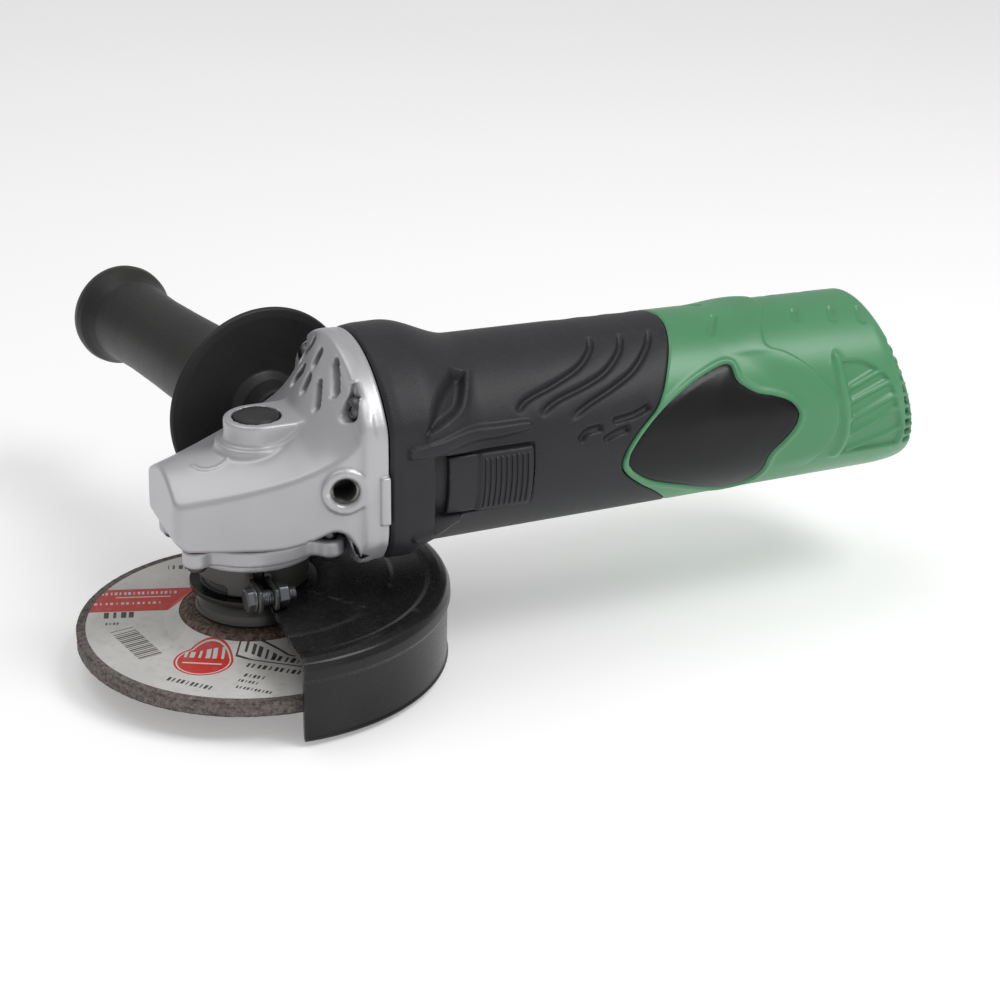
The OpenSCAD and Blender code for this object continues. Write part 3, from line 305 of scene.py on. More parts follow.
# Shade in hollows, from how much open sky a point sees
hollow, h_in, h_out = new_group("Shade in hollows", [("Distance", FLOAT, 0.005), ("Amount", FLOAT, 0.8)],
                                [("Mask", FLOAT)])
open_sky = add(hollow, "ShaderNodeAmbientOcclusion", {"Distance": h_in.outputs["Distance"]}, samples=6)
hollow.links.new(ramp(hollow, open_sky.outputs["AO"], 0.62, 0.12, 0.0, h_in.outputs["Amount"]),
                 h_out.inputs["Mask"])
print("node groups:", [g.name for g in bpy.data.node_groups])


# %% [markdown]
# ## Materials
# One function sets up most of them, because plastics, paints and metals here differ only in
# numbers: base colour, roughness, metal or not, how coarse the grain is and what shows where an
# edge is worn.

# %% The general material
def linear(*srgb):
    """Scene colour from an 8-bit sRGB one."""
    return tuple(((c / 255 + 0.055) / 1.055) ** 2.4 if c > 10 else c / 255 / 12.92 for c in srgb) + (1.0,)


def use_group(tree, name, links=None):
    """A node group used in a material."""
    return add(tree, "ShaderNodeGroup", links, node_tree=bpy.data.node_groups[name])


def mix(tree, amount, a, b):
    """One colour turning into another."""
    return add(tree, "ShaderNodeMix", {0: amount, 6: a, 7: b}, data_type="RGBA").outputs[2]


def new_material(name):
    """A material with its tree and its shader."""
    material = bpy.data.materials.new(name)
    material.use_nodes = True
    return material, material.node_tree, material.node_tree.nodes["Principled BSDF"]


def set_shader(shader, **values):
    """Plain values of the shader's inputs; an underscore stands for a space."""
    for key, value in values.items():
        shader.inputs[key.replace("_", " ")].default_value = value


DUST_COLOUR_8BIT, SHADE_8BIT = (190, 184, 174), (16, 16, 17)


def surface(name, colour, roughness, metal=0.0, grain_scale=900.0, grain=0.15, depth=0.0002, other=None,
            tone_scale=30.0, worn=None, wear_amount=0.0, dusty=0.015, coat=0.0):
    """A material with grain, patches of tone, worn edges, dust and shade in its hollows."""
    material, tree, shader = new_material(name)
    grained = use_group(tree, "Fine grain", {"Scale": grain_scale, "Strength": grain, "Depth": depth})
    toned = use_group(tree, "Slow tone", {"Scale": tone_scale})
    dusted = use_group(tree, "Settled dust", {"Amount": dusty})
    other = other or tuple(min(1, c * 1.18 + 0.002) for c in colour[:3]) + (1.0,)
    out = mix(tree, toned.outputs["Value"], colour, other)
    if worn is not None:
        edges = use_group(tree, "Worn edges")
        out = mix(tree, maths(tree, "MULTIPLY", edges.outputs["Mask"], wear_amount), out, worn)
    out = mix(tree, dusted.outputs["Mask"], out, linear(*DUST_COLOUR_8BIT))
    out = mix(tree, use_group(tree, "Shade in hollows").outputs["Mask"], out, linear(*SHADE_8BIT))
    tree.links.new(out, shader.inputs["Base Color"])
    rough = ramp(tree, grained.outputs["Value"], 0.0, 1.0, roughness - 0.04, roughness + 0.05)
    tree.links.new(rough, shader.inputs["Roughness"])
    # Very dark plastics and paints mirror less of the white room
    mirror = 0.32 if max(colour[:3]) < 0.05 else 0.5
    set_shader(shader, Metallic=metal, Specular_IOR_Level=mirror, Coat_Weight=coat, Coat_Roughness=0.12)
    tree.links.new(grained.outputs["Normal"], shader.inputs["Normal"])
    return material


# %% The finishes, one for each material slot of the record
FINISH = {
    "cast_silver": surface("Silver paint", linear(180, 180, 183), 0.36, 0.45, 1500, 0.10, 0.0002,
                           linear(187, 187, 190), worn=linear(222, 222, 224), wear_amount=0.6),
    "black_plastic": surface("Dark soft plastic", linear(38, 38, 41), 0.46, 0, 1900, 0.30, 0.0003,
                             linear(43, 43, 46), worn=linear(80, 80, 82), wear_amount=0.35),
    "button_plastic": surface("Button plastic", linear(40, 40, 42), 0.44, 0, 1600, 0.25),
    "grip_plastic": surface("Grip plastic", linear(37, 36, 36), 0.42, 0, 900, 0.35, 0.0003,
                            linear(42, 41, 40)),
    "green_plastic": surface("Green plastic", linear(74, 138, 95), 0.34, 0, 1500, 0.10, 0.0002,
                             linear(80, 144, 101), worn=linear(118, 172, 134), wear_amount=0.3, dusty=0.02),
    "badge_plastic": surface("Badge gloss", linear(8, 8, 10), 0.30, 0, 700, 0.03, 0.0001, dusty=0.0),
    "guard_paint": surface("Guard paint", linear(18, 18, 19), 0.26, 0, 700, 0.12, 0.0002,
                           linear(30, 30, 31), worn=linear(92, 88, 80), wear_amount=0.5),
    "dark_steel": surface("Blackened steel", linear(78, 78, 76), 0.38, 0.75, 500, 0.15, 0.0002,
                          linear(88, 88, 86), worn=linear(170, 168, 160), wear_amount=0.7),
    "steel": surface("Machined steel", linear(190, 190, 190), 0.28, 1.0, 900, 0.12),
    "zinc_steel": surface("Zinc plate", linear(104, 105, 108), 0.34, 0.9, 700, 0.12,
                          other=linear(90, 91, 94)),
    "gear_steel": surface("Hardened steel", linear(150, 150, 152), 0.30, 1.0, 1200, 0.12),
    "spring_steel": surface("Spring wire", linear(168, 168, 170), 0.30, 1.0, 1600, 0.10),
    "bronze": surface("Sintered bronze", linear(176, 140, 88), 0.45, 0.9, 1600, 0.25),
    "brass": surface("Brass sheet", linear(200, 170, 104), 0.32, 1.0, 900, 0.10),
    "copper": surface("Copper wire", linear(176, 100, 66), 0.36, 0.8, 2600, 0.50, 0.0004),
    "laminations": surface("Stacked sheet steel", linear(130, 130, 134), 0.42, 0.8, 3000, 0.40, 0.0003),
    "felt": surface("Felt", linear(190, 182, 164), 0.92, 0, 2600, 0.80, 0.0006),
    "rubber": surface("Soft rubber", linear(34, 34, 34), 0.62, 0, 1400, 0.30),
    "carbon": surface("Pressed carbon", linear(42, 42, 42), 0.55, 0, 2400, 0.40),
    "light_plastic": surface("Pale plastic", linear(208, 202, 182), 0.45, 0, 1500, 0.15),
    "film": surface("Yellow film", linear(206, 176, 70), 0.30, 0, 800, 0.10, coat=0.3),
}
print(len(FINISH), "finishes")

# %% [markdown]
# ## Abrasive and paper
# The wheel is grit bonded with resin, so its colour comes in specks, and close to the hub the resin
# is browner. The paper on it carries print. Generic bars, blocks and a roundel stand for it, each
# one a small node group set to a place, a turn and a size on the paper, so that no lettering is
# needed.

# %% Grit
def flat_length(tree, vector):
    """Length of a vector seen along Z."""
    parts = split(tree, vector)
    flat = add(tree, "ShaderNodeCombineXYZ", {"X": parts["X"], "Y": parts["Y"], "Z": 0.0})
    return add(tree, "ShaderNodeVectorMath", {0: flat.outputs["Vector"]}, operation="LENGTH").outputs["Value"]


grit, tree, shader = new_material("Bonded grit")
cells = add(tree, "ShaderNodeTexVoronoi", {"Vector": in_place(tree), "Scale": 1500.0})
specks = noise(tree, 700.0, 6.0, 0.7)
from_hub = flat_length(tree, in_place(tree))
resin = mix(tree, ramp(tree, from_hub, 0.024, 0.028, 1.0, 0.0), linear(98, 90, 88), linear(92, 70, 58))
specked = mix(tree, ramp(tree, specks, 0.45, 0.7), resin, linear(140, 130, 124))
pitted = mix(tree, ramp(tree, specks, 0.3, 0.46, 1.0, 0.0), specked, linear(52, 44, 42))
tree.links.new(pitted, shader.inputs["Base Color"])
height = maths(tree, "ADD", cells.outputs["Distance"], specks)
rough_bump = add(tree, "ShaderNodeBump", {"Strength": 0.7, "Distance": 0.0005, "Height": height})
tree.links.new(rough_bump.outputs["Normal"], shader.inputs["Normal"])
set_shader(shader, Roughness=0.85)
FINISH["abrasive"] = grit

# %% Groups for the print on the paper
block, b_in, b_out = new_group(
    "Printed block", [("Centre", VECTOR, (0, 0, 0)), ("Turn", FLOAT, 0.0), ("Half width", FLOAT, 0.005),
                      ("Half height", FLOAT, 0.002), ("Bars", FLOAT, 0.0), ("Gap", FLOAT, 0.0)],
    [("Mask", FLOAT)])
moved = add(block, "ShaderNodeVectorMath", {0: in_place(block), 1: b_in.outputs["Centre"]},
            operation="SUBTRACT")
back = maths(block, "MULTIPLY", b_in.outputs["Turn"], -1.0)
turned_to = add(block, "ShaderNodeVectorRotate", {"Vector": moved.outputs["Vector"], "Angle": back},
                rotation_type="Z_AXIS")
parts = split(block, turned_to.outputs["Vector"])
within = [maths(block, "LESS_THAN", maths(block, "ABSOLUTE", parts[axis]), b_in.outputs[half])
          for axis, half in (("X", "Half width"), ("Y", "Half height"))]
inside = maths(block, "MULTIPLY", *within)
# Bars come from two sines of uneven pitch, so that they look like words and not like a fence
phase = maths(block, "MULTIPLY", parts["X"], b_in.outputs["Bars"])
slower = maths(block, "SINE", maths(block, "MULTIPLY", phase, 0.37))
wave = maths(block, "MULTIPLY_ADD", slower, 0.6, maths(block, "SINE", phase))
bars = maths(block, "GREATER_THAN", wave, b_in.outputs["Gap"])
block.links.new(maths(block, "MULTIPLY", inside, bars), b_out.inputs["Mask"])

disc, c_in, c_out = new_group("Printed disc", [("Centre", VECTOR, (0, 0, 0)), ("Inner", FLOAT, 0.0),
                                              ("Outer", FLOAT, 0.009)], [("Mask", FLOAT)])
moved = add(disc, "ShaderNodeVectorMath", {0: in_place(disc), 1: c_in.outputs["Centre"]},
            operation="SUBTRACT")
away = flat_length(disc, moved.outputs["Vector"])
inner = maths(disc, "GREATER_THAN", away, c_in.outputs["Inner"])
outer = maths(disc, "LESS_THAN", away, c_in.outputs["Outer"])
disc.links.new(maths(disc, "MULTIPLY", inner, outer), c_out.inputs["Mask"])

# %% Printed paper
paper, tree, shader = new_material("Printed paper")
WHITE, RED, INK = linear(206, 204, 200), linear(196, 52, 44), linear(60, 54, 54)
# (ink, centre x, centre y, turn in degrees, half width, half height, bars per metre, gap), in millimetres
PRINT = [
    (RED, -38.0, 27.8, -17, 42.0, 8.2, 0, -1),
    (WHITE, -38.0, 25.4, -17, 14.0, 0.8, 3600, 0.2), (WHITE, -31.0, 31.0, -17, 13.0, 1.0, 4200, 0.1),
    (WHITE, -30.0, 27.6, -17, 9.0, 0.35, 0, -1), (INK, -13.0, 45.5, -17, 3.6, 1.5, 2800, 0.0),
    (INK, -40.0, 17.2, -16, 5.6, 2.1, 2300, -0.1), (INK, -44.0, 12.0, -16, 2.4, 0.8, 5200, 0.1),
    (INK, -40.4, -3.6, -79, 11.0, 4.0, 5200, 0.0), (WHITE, -42.3, 5.6, -79, 1.0, 4.2, 0, -1),
    (INK, -31.4, -36.2, -45, 8.2, 1.2, 3900, 0.1), (INK, -3.0, -28.8, -37, 11.0, 3.4, 0, -1),
    (WHITE, -3.0, -28.8, -37, 10.4, 2.8, 0, -1), (INK, -3.0, -28.8, -37, 9.0, 1.5, 2900, 0.0),
    (INK, -4.4, -36.4, -38, 9.2, 1.3, 3300, 0.1), (INK, -12.0, -38.6, -40, 3.6, 1.0, 4300, 0.1),
    (INK, -14.4, -41.5, -41, 3.4, 0.8, 5200, 0.1), (INK, -14.2, -47.1, -41, 6.2, 0.8, 5000, 0.1),
    (RED, 38.0, -20.0, 62, 9.0, 5.0, 0, -1), (INK, 34.0, 20.0, 120, 9.0, 1.4, 3300, 0.1),
    (INK, 38.0, 24.0, 120, 7.0, 1.0, 4300, 0.1), (INK, 18.0, 40.0, 155, 9.0, 1.3, 3300, 0.1),
]
toned = use_group(tree, "Slow tone", {"Scale": 60.0})
out = mix(tree, toned.outputs["Value"], linear(198, 196, 192), linear(212, 210, 206))


def print_blocks(out, blocks):
    """The paper's colour with blocks printed over it."""
    for ink, x, y, turn, half_w, half_h, bar_rate, gap in blocks:
        stamp = use_group(tree, "Printed block", {"Centre": (x * MM, y * MM, 0), "Turn": math.radians(turn),
                                                  "Half width": half_w * MM, "Half height": half_h * MM,
                                                  "Bars": float(bar_rate), "Gap": float(gap)})
        out = mix(tree, stamp.outputs["Mask"], out, ink)
    return out


out = print_blocks(out, PRINT)
ROUNDEL = (-23.8 * MM, -23.4 * MM, 0)
for ink, inner, outer in ((RED, 0.0, 9.4), (WHITE, 0.0, 8.7), (RED, 0.0, 8.2)):
    stamp = use_group(tree, "Printed disc", {"Centre": ROUNDEL, "Inner": inner * MM, "Outer": outer * MM})
    out = mix(tree, stamp.outputs["Mask"], out, ink)
# White blocks across the roundel's upper half and a line below them
out = print_blocks(out, [(WHITE, -21.9, -19.9, -27, 6.8, 1.9, 2600, -0.1),
                         (WHITE, -24.6, -24.6, -27, 6.2, 0.4, 0, -0.1)])
grained = use_group(tree, "Fine grain", {"Scale": 1300.0, "Strength": 0.12})
dusted = use_group(tree, "Settled dust", {"Amount": 0.25})
out = mix(tree, dusted.outputs["Mask"], out, linear(150, 140, 132))
tree.links.new(out, shader.inputs["Base Color"])
tree.links.new(grained.outputs["Normal"], shader.inputs["Normal"])
set_shader(shader, Roughness=0.42)
FINISH["label_paper"] = paper
print("paper has", len(PRINT) + 5, "printed marks")

# %% [markdown]
# ## Shells as tubes
# The motor housing and the tail cover are tubes round the motor axis, so both are made from one
# idea: a radius for every place along X and every turn round the axis. Everything moulded into them
# is added to that radius: grooves along drawn lines, pockets inside drawn outlines, raised ridges.
# Lines are drawn by a few points as (x, turn in degrees from the top), and curved through them.
# Both sides are alike, apart from the switch on the near side.

# %% Lines drawn on the shells
def curve(points, steps=10, closed=False):
    """A smooth line through a few points (Catmull-Rom)."""
    p = np.asarray(points, float)
    n = len(p)
    get = (lambda i: p[i % n]) if closed else (lambda i: p[min(max(i, 0), n - 1)])
    out = []
    for i in range(n if closed else n - 1):
        a, b, c, d = get(i - 1), get(i), get(i + 1), get(i + 2)
        for t in np.arange(steps) / steps:
            out.append(0.5 * (2 * b + (c - a) * t + (2 * a - 5 * b + 4 * c - d) * t ** 2
                              + (3 * b - a - 3 * c + d) * t ** 3))
    if not closed:
        out.append(p[-1])
    return np.array(out)


ARC = math.radians(1) * 31.8         # millimetres of surface in one degree of turn


def line_distance(x, turn, line):
    """Distance from points to a line on the shell, in millimetres, and how far along it, from 0 to 1."""
    px, ps = np.ravel(x), np.ravel(turn) * ARC
    best, place = np.full(px.shape, 1e9), np.zeros(px.shape)
    lx, ls = line[:, 0], line[:, 1] * ARC
    reach = 14.0
    near = np.flatnonzero((px > lx.min() - reach) & (px < lx.max() + reach)
                          & (ps > ls.min() - reach) & (ps < ls.max() + reach))
    px, ps = px[near], ps[near]
    found, where = np.full(px.shape, 1e9), np.zeros(px.shape)
    for i in range(len(line) - 1):
        dx, ds = lx[i + 1] - lx[i], ls[i + 1] - ls[i]
        size = dx * dx + ds * ds
        if size < 1e-12:
            continue
        t = np.clip(((px - lx[i]) * dx + (ps - ls[i]) * ds) / size, 0, 1)
        d = np.hypot(px - lx[i] - t * dx, ps - ls[i] - t * ds)
        closer = d < found
        found = np.where(closer, d, found)
        where = np.where(closer, (i + t) / (len(line) - 1), where)
    best[near], place[near] = found, where
    return best.reshape(np.shape(x)), place.reshape(np.shape(x))


def inside_outline(x, turn, line):
    """True where points lie inside a closed outline."""
    px, pt = np.ravel(x), np.ravel(turn)
    hit = np.zeros(px.shape, bool)
    for (x0, t0), (x1, t1) in zip(line, np.roll(line, -1, 0)):
        if t0 == t1:
            continue
        crosses = (t0 > pt) != (t1 > pt)
        hit ^= crosses & (px < (x1 - x0) * (pt - t0) / (t1 - t0) + x0)
    return hit.reshape(np.shape(x))


def depth_inside(x, turn, line):
    """Millimetres from the edge of a closed outline: positive inside, negative outside."""
    d, _ = line_distance(x, turn, np.vstack([line, line[:1]]))
    return np.where(inside_outline(x, turn, line), d, -d)


LONG_GROOVES = [
    curve([(113.2, 15.8), (110.6, 26.9), (104.6, 37.8), (94.6, 46.4), (84.3, 53.4), (79.6, 60.7)]),
    curve([(123.9, 15.6), (120.7, 29.6), (114.1, 41.7), (106, 49), (94, 56.3), (87.2, 63.8)]),
    curve([(134.7, 15.3), (130.3, 30.2), (123.3, 43.8), (115, 52.5), (105.4, 60.3), (97, 68)]),
]
SHORT_GROOVES = [
    curve([(112, 72.6), (119.9, 70.6), (126.3, 66.5)]),
    curve([(100.1, 81.2), (103.2, 76.4), (108.9, 75.2)]),
    curve([(108.6, 83.1), (113.4, 79.6), (118.2, 77.9)]),
]
JOINT_LINE = np.array([(0, 141.5), (13.4, 140.8), (30.4, 138.2), (46.4, 134.6), (59.1, 131.4), (69.6, 127.8),
                       (80.8, 121.2), (92.9, 116.5), (104.3, 116.3), (117.7, 123.5), (131.3, 132),
                       (153.6, 139.7), (180, 141)])
JOINT_LINE = curve(JOINT_LINE, 6)
BADGE_LINE = curve([(156.3, 48.4), (158.5, 59.7), (164.5, 68), (171.1, 71.6), (177, 76.5), (180.2, 84.5),
                    (178.9, 93.2), (175.2, 101.7), (171.1, 111.1), (170.2, 126.4), (166.5, 139),
                    (158.3, 143.4), (149, 134.8), (140, 126.3), (127.3, 115.9), (119.4, 104.7),
                    (118, 95.6), (121.9, 83.8), (128.9, 71.9), (136.3, 62.9), (145.7, 54)], 6, closed=True)
LEAF_LINE = np.vstack([curve([(61, 30), (59.1, 34.4), (51.7, 48.8), (45.5, 65.7)]),
                       curve([(45.4, 67.5), (51.3, 64.4), (59.5, 57.1), (63.2, 48.4), (66.8, 32.6)])])
# Ridges above and below the switch: line, width and height
SWITCH_RIDGES = [(curve([(41.8, 73.6), (52, 72.3), (63.5, 68.6), (73, 68.4), (82.5, 67.6)]), 2.3, 1.8),
                 (curve([(43.5, 118.0), (51, 118.4), (59, 118.0)]), 1.9, 1.5)]


def joint_at(turn):
    """Where along X the housing ends and the tail cover starts, at a turn round the axis."""
    return np.interp(np.abs(turn), JOINT_LINE[:, 0], JOINT_LINE[:, 1])


print("badge outline", len(BADGE_LINE), "points")


# %% [markdown]
# ## Motor housing
# At the joint with the gear case the housing has the case's outline, round on top and square below.
# It swells to a shoulder and runs down to the barrel. A leaf-shaped hollow beside the shoulder
# makes room for the thumb, a ridge shields the slide switch, and three long wavy grooves give the
# hand a hold.

# %% The housing's outer radius
def flange_radius(turn):
    """Distance from the motor axis to the outline that case and housing share, at a turn in degrees."""
    t = np.radians(turn)
    side = 35.2 / np.maximum(np.abs(np.sin(t)), 1e-3)
    low = 29.0 / np.maximum(-np.cos(t), 1e-3)
    return np.minimum(join(join(np.full_like(t, 39.4), side, 2.0), low, 6.0), 44.0)


def smooth_housing(x, turn):
    """The housing without its mouldings."""
    below = smooth(95, 140, np.abs(turn))
    start, end = 47 - 5 * below, 70 - 13 * below
    share = 1 - smooth(0, 1, (x - start) / (end - start))
    swell = 0.5 * smooth(35, 40, x) * (1 - below)
    return barrel_at(x) + (flange_radius(turn) + swell - barrel_at(x)) * share


GROOVE_DEPTH, GROOVE_HALF = 1.45, 1.1            # the wave grooves' deep line
BANK_DEPTH, BANK_HALF = 0.35, 3.2                # and the soft bank beside it
LEAF_DEPTH, LIP_HEIGHT = 3.3, 0.9


def housing_radius(x, turn):
    """Outer radius of the housing at x along the axis and a turn in degrees from the top."""
    r = smooth_housing(x, turn)
    either = np.abs(turn)
    # Long grooves step down towards the tail, so each has a deep line and a soft bank
    for line in LONG_GROOVES + SHORT_GROOVES:
        d, place = line_distance(x, either, line)
        taper = smooth(0, 0.12, place) * (1 - smooth(0.86, 1, place))
        r = r - GROOVE_DEPTH * np.exp(-(d / GROOVE_HALF) ** 4) * taper
        r = r - BANK_DEPTH * np.exp(-(d / BANK_HALF) ** 2) * taper
    # Leaf-shaped hollow with a raised lip at its back
    hollow = depth_inside(x, either, LEAF_LINE)
    r = r - LEAF_DEPTH * smooth(-0.4, 3.0, hollow)
    lip, place = line_distance(x, either, LEAF_LINE[len(LEAF_LINE) // 2 - 4:])
    r = r + LIP_HEIGHT * np.exp(-(lip / 1.3) ** 2) * smooth(0, 0.1, place)
    for line, width, height in SWITCH_RIDGES:
        d, place = line_distance(x, either, line)
        wide = width * (0.55 + 0.45 * np.sin(np.pi * np.clip(place, 0.03, 0.97)) ** 0.5)
        r = r + height * (1 - smooth(0.45, 1.25, d / wide))
    # Dark shadow gap at the joint with the gear case, and a fine one at the tail
    r = r - 0.9 * (1 - smooth(0.2, 1.2, x - JOINT_X))
    r = r - 0.45 * (1 - smooth(0.1, 0.8, joint_at(turn) - x))
    # Pocket for the slide, on the near side only
    pocket = np.maximum(slab_field(x, 49.6, 84.3), slab_field(turn, 77.6, 116.4) * ARC)
    floor = barrel_at(55) - np.where(x < 55.3, 1.75, 1.2)
    r = np.where(pocket < 0, np.minimum(r, floor), r)
    return r


# %% Housing mesh
HOUSING_TURNS, HOUSING_ROWS = 384, 200
turns = np.linspace(-180, 180, HOUSING_TURNS + 1)[:-1]
start_x = JOINT_X + JOINT_GAP
T, U = np.meshgrid(turns, np.linspace(0, 1, HOUSING_ROWS))
X = start_x + (joint_at(T) - JOINT_GAP - start_x) * U
R = housing_radius(X, T)
TI, UI = np.meshgrid(turns, np.linspace(1, 0, 8))
XI = start_x + (joint_at(TI) - JOINT_GAP - start_x) * UI
RI = np.minimum(30.6, smooth_housing(XI, TI) - 2.6)
X, R, T = np.vstack([X, XI]), np.vstack([R, RI]), np.vstack([T, TI])


def on_shell(x, r, turn):
    """Points in space from a place along X, a radius and a turn. Turns grow from the top to the near side."""
    t = np.radians(turn)
    return np.stack([x, -r * np.sin(t), AXIS_Z + r * np.cos(t)], -1)


housing = make_piece("housing_shell", on_shell(X, R, T).reshape(-1, 3),
                     grid_faces(X.shape[0], X.shape[1], True, True), "casing", "black_plastic", sharp=50)
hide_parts("motor_housing")
print("housing", len(housing.data.polygons), "faces")

# %% [markdown]
# ## Tail cover
# The cover starts at the wavy joint line and closes with a slanted end. Rows of points run along
# the barrel, bend over a rounded edge and cross the end to the hole for the cord. A flowing step
# and a ridge run down its side, with a slatted panel behind them, and shallow thumb dents lie along
# the top.

# %% The tail's outer surface
TILT = math.radians(15.5)
END_CENTRE = np.array([225.5, 0.0, AXIS_Z - 1.6])
ROUND_X = 213.0
STEP_LINE = curve([(0, 178.3), (8.9, 177.9), (20, 174.2), (31.8, 171.6), (41.2, 171.7), (46.5, 177.6),
                   (57, 184.7), (68.2, 189.6), (77.7, 193.5), (92.9, 194.7), (105.9, 193.2),
                   (122, 188), (150, 182), (180, 180)], 5)
RIDGE_LINE = curve([(194.6, 52), (196.3, 55.3), (196.4, 72.6), (198.1, 90.8), (198.4, 111.5), (195.7, 124)])
PANEL_LINE = np.vstack([curve([(197.5, 56.5), (205, 57.5), (211.2, 63.8), (215.8, 73.1), (218.7, 90.3),
                               (222.0, 109), (222.5, 122)]),
                        curve([(199.5, 122), (200.6, 111.5), (200.2, 90.8), (198.6, 72.6)])])
SLATS = [((200.3, 73.6), (212.9, 64.9)), ((200.6, 82.4), (215.9, 72.9)), ((200.5, 94.6), (217.5, 82.1)),
         ((201.3, 106.8), (218.7, 91.7)), ((202.5, 119.5), (220.3, 107.6))]
DENTS = [((159.3, 10.7), (154.7, 25.5)), ((188.3, 15.5), (187.1, 23.3)), ((201.9, 17.5), (200.2, 27)),
         ((211.7, 20.6), (210.8, 30.8))]


# Millimetres that the tail's mouldings stand out or go in
STEP_HEIGHT, RIDGE_HEIGHT, PANEL_DEPTH, SLAT_HEIGHT, DENT_DEPTH = 1.15, 1.1, 1.5, 1.35, 0.9


def tail_relief(x, turn):
    """What the mouldings add to the tail's surface, in millimetres."""
    either = np.abs(turn)
    out = np.zeros_like(x)
    back = x - np.interp(either, STEP_LINE[:, 0], STEP_LINE[:, 1])
    step = (1 - smooth(-0.2, 1.1, back)) * smooth(-17, -1, back) * (1 - smooth(112, 130, either))
    out += STEP_HEIGHT * step
    d, place = line_distance(x, either, RIDGE_LINE)
    out += RIDGE_HEIGHT * np.exp(-(d / 1.8) ** 2) * smooth(0, 0.1, place) * (1 - smooth(0.9, 1, place))
    panel = smooth(-0.5, 1.1, depth_inside(x, either, PANEL_LINE))
    out -= PANEL_DEPTH * panel
    for a, b in SLATS:
        d, place = line_distance(x, either, np.array([a, b]))
        out += SLAT_HEIGHT * np.exp(-(d / 1.1) ** 2) * panel
    for a, b in DENTS:
        d, place = line_distance(x, either, np.array([a, b]))
        out -= DENT_DEPTH * (1 - smooth(0.4, 2.0, d))
    # Raised rim round the badge, and its seat
    rim = depth_inside(x, either, BADGE_LINE)
    out += 0.6 * np.exp(-((rim + 1.0) / 0.9) ** 2)
    out -= 0.8 * smooth(-0.3, 0.2, rim)
    out -= 0.45 * (1 - smooth(0.1, 0.8, x - joint_at(turn)))
    return out


def bent(t, a, b, c):
    """Points on the bend from a to c with its corner at b."""
    t = np.asarray(t)[:, None, None]
    return (1 - t) ** 2 * a + 2 * t * (1 - t) * b + t ** 2 * c


TAIL_TURNS, TAIL_ROWS = 512, 160
tail_turns = np.linspace(-180, 180, TAIL_TURNS + 1)[:-1]
T, U = np.meshgrid(tail_turns, np.linspace(0, 1, TAIL_ROWS))
X = joint_at(T) + JOINT_GAP + (ROUND_X - joint_at(T) - JOINT_GAP) * U
along = on_shell(X, barrel_at(X), T)
rad = np.radians(tail_turns)
up = np.array([-math.sin(TILT), 0, math.cos(TILT)])


def end_ring(radius, centre=END_CENTRE):
    """A ring in the plane of the slanted end."""
    return centre + radius * (np.outer(np.cos(rad), up) - np.outer(np.sin(rad), [0, 1, 0]))


ring_a = along[-1]
ring_c = end_ring(26.2)
ring_b = ring_a.copy()
ring_b[:, 0] = END_CENTRE[0] + (END_CENTRE[2] - ring_a[:, 2]) * math.tan(TILT)
over = bent(np.linspace(0, 1, 40)[1:], ring_a, ring_b, ring_c)
CORD_DROP = 6.4                      # the cord's hole lies this far below the end's centre
inlet = END_CENTRE + np.array([CORD_DROP * math.tan(TILT), 0, -CORD_DROP])
ring_d = end_ring(7.4, inlet)
ring_e = end_ring(6.6, inlet)
FACE_ROWS = 7
face_rows = np.stack([ring_c + (ring_d - ring_c) * t for t in np.linspace(0, 1, FACE_ROWS + 1)[1:]])
outer = np.concatenate([along, over, face_rows])
# Normals from the neighbours, then the relief lifts each point along its own normal
d_row = np.gradient(outer, axis=0)
d_col = np.roll(outer, -1, 1) - np.roll(outer, 1, 1)
normal = np.cross(d_row, d_col)
normal /= np.maximum(np.linalg.norm(normal, axis=-1, keepdims=True), 1e-9)
outward = np.sign(np.sum(normal * (outer - np.array([150.0, 0, AXIS_Z])), -1, keepdims=True))
relief = tail_relief(outer[..., 0], np.broadcast_to(tail_turns, outer.shape[:2]))
relief[-FACE_ROWS - 1:] = 0              # the end face and its rim stay plain
# A row of short slots along the rounded edge, cut at even steps of the turn on both sides
rows = np.arange(outer.shape[0])[:, None] - len(along)
slot_rows = smooth(16, 19, rows) * (1 - smooth(33, 36, rows))
SLOT_FIRST, SLOT_STEP, SLOT_HALF, SLOTS = 45.5, 8.3, 2.5, 10
step_at = np.clip(np.round((np.abs(tail_turns) - SLOT_FIRST) / SLOT_STEP), 0, SLOTS - 1)
off = np.abs(np.abs(tail_turns) - SLOT_FIRST - SLOT_STEP * step_at)
relief = relief - 2.2 * slot_rows * (1 - smooth(SLOT_HALF - 0.7, SLOT_HALF + 0.7, off))[None, :]
outer = outer + normal * outward * relief[..., None]
lip = np.stack([ring_e + [-0.6, 0, 0], ring_e + [-3.0, 0, 0]])
inner_face = (ring_c * 0.93 + END_CENTRE * 0.07) + [-2.6, 0, 0]
TI, UI = np.meshgrid(tail_turns, np.linspace(1, 0, 6))
XI = joint_at(TI) + JOINT_GAP + (ROUND_X - 1 - joint_at(TI) - JOINT_GAP) * UI
inner = on_shell(XI, barrel_at(XI) - 2.4, TI)
shell = np.concatenate([outer, lip, inner_face[None], inner])
tail = make_piece("tail_shell", shell.reshape(-1, 3), grid_faces(shell.shape[0], shell.shape[1], True, True),
                  "casing", "green_plastic", sharp=50)
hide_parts("tail_cover")
print("tail", len(tail.data.polygons), "faces")

# %% [markdown]
# ## Badges
# Each side has a black plate with its own outline. The outline is filled with triangles on the flat
# sheet of (x, turn), then every point is lifted to the shell. The edge turns down into the seat,
# and the plate swells a little in the middle so that it catches one soft highlight.

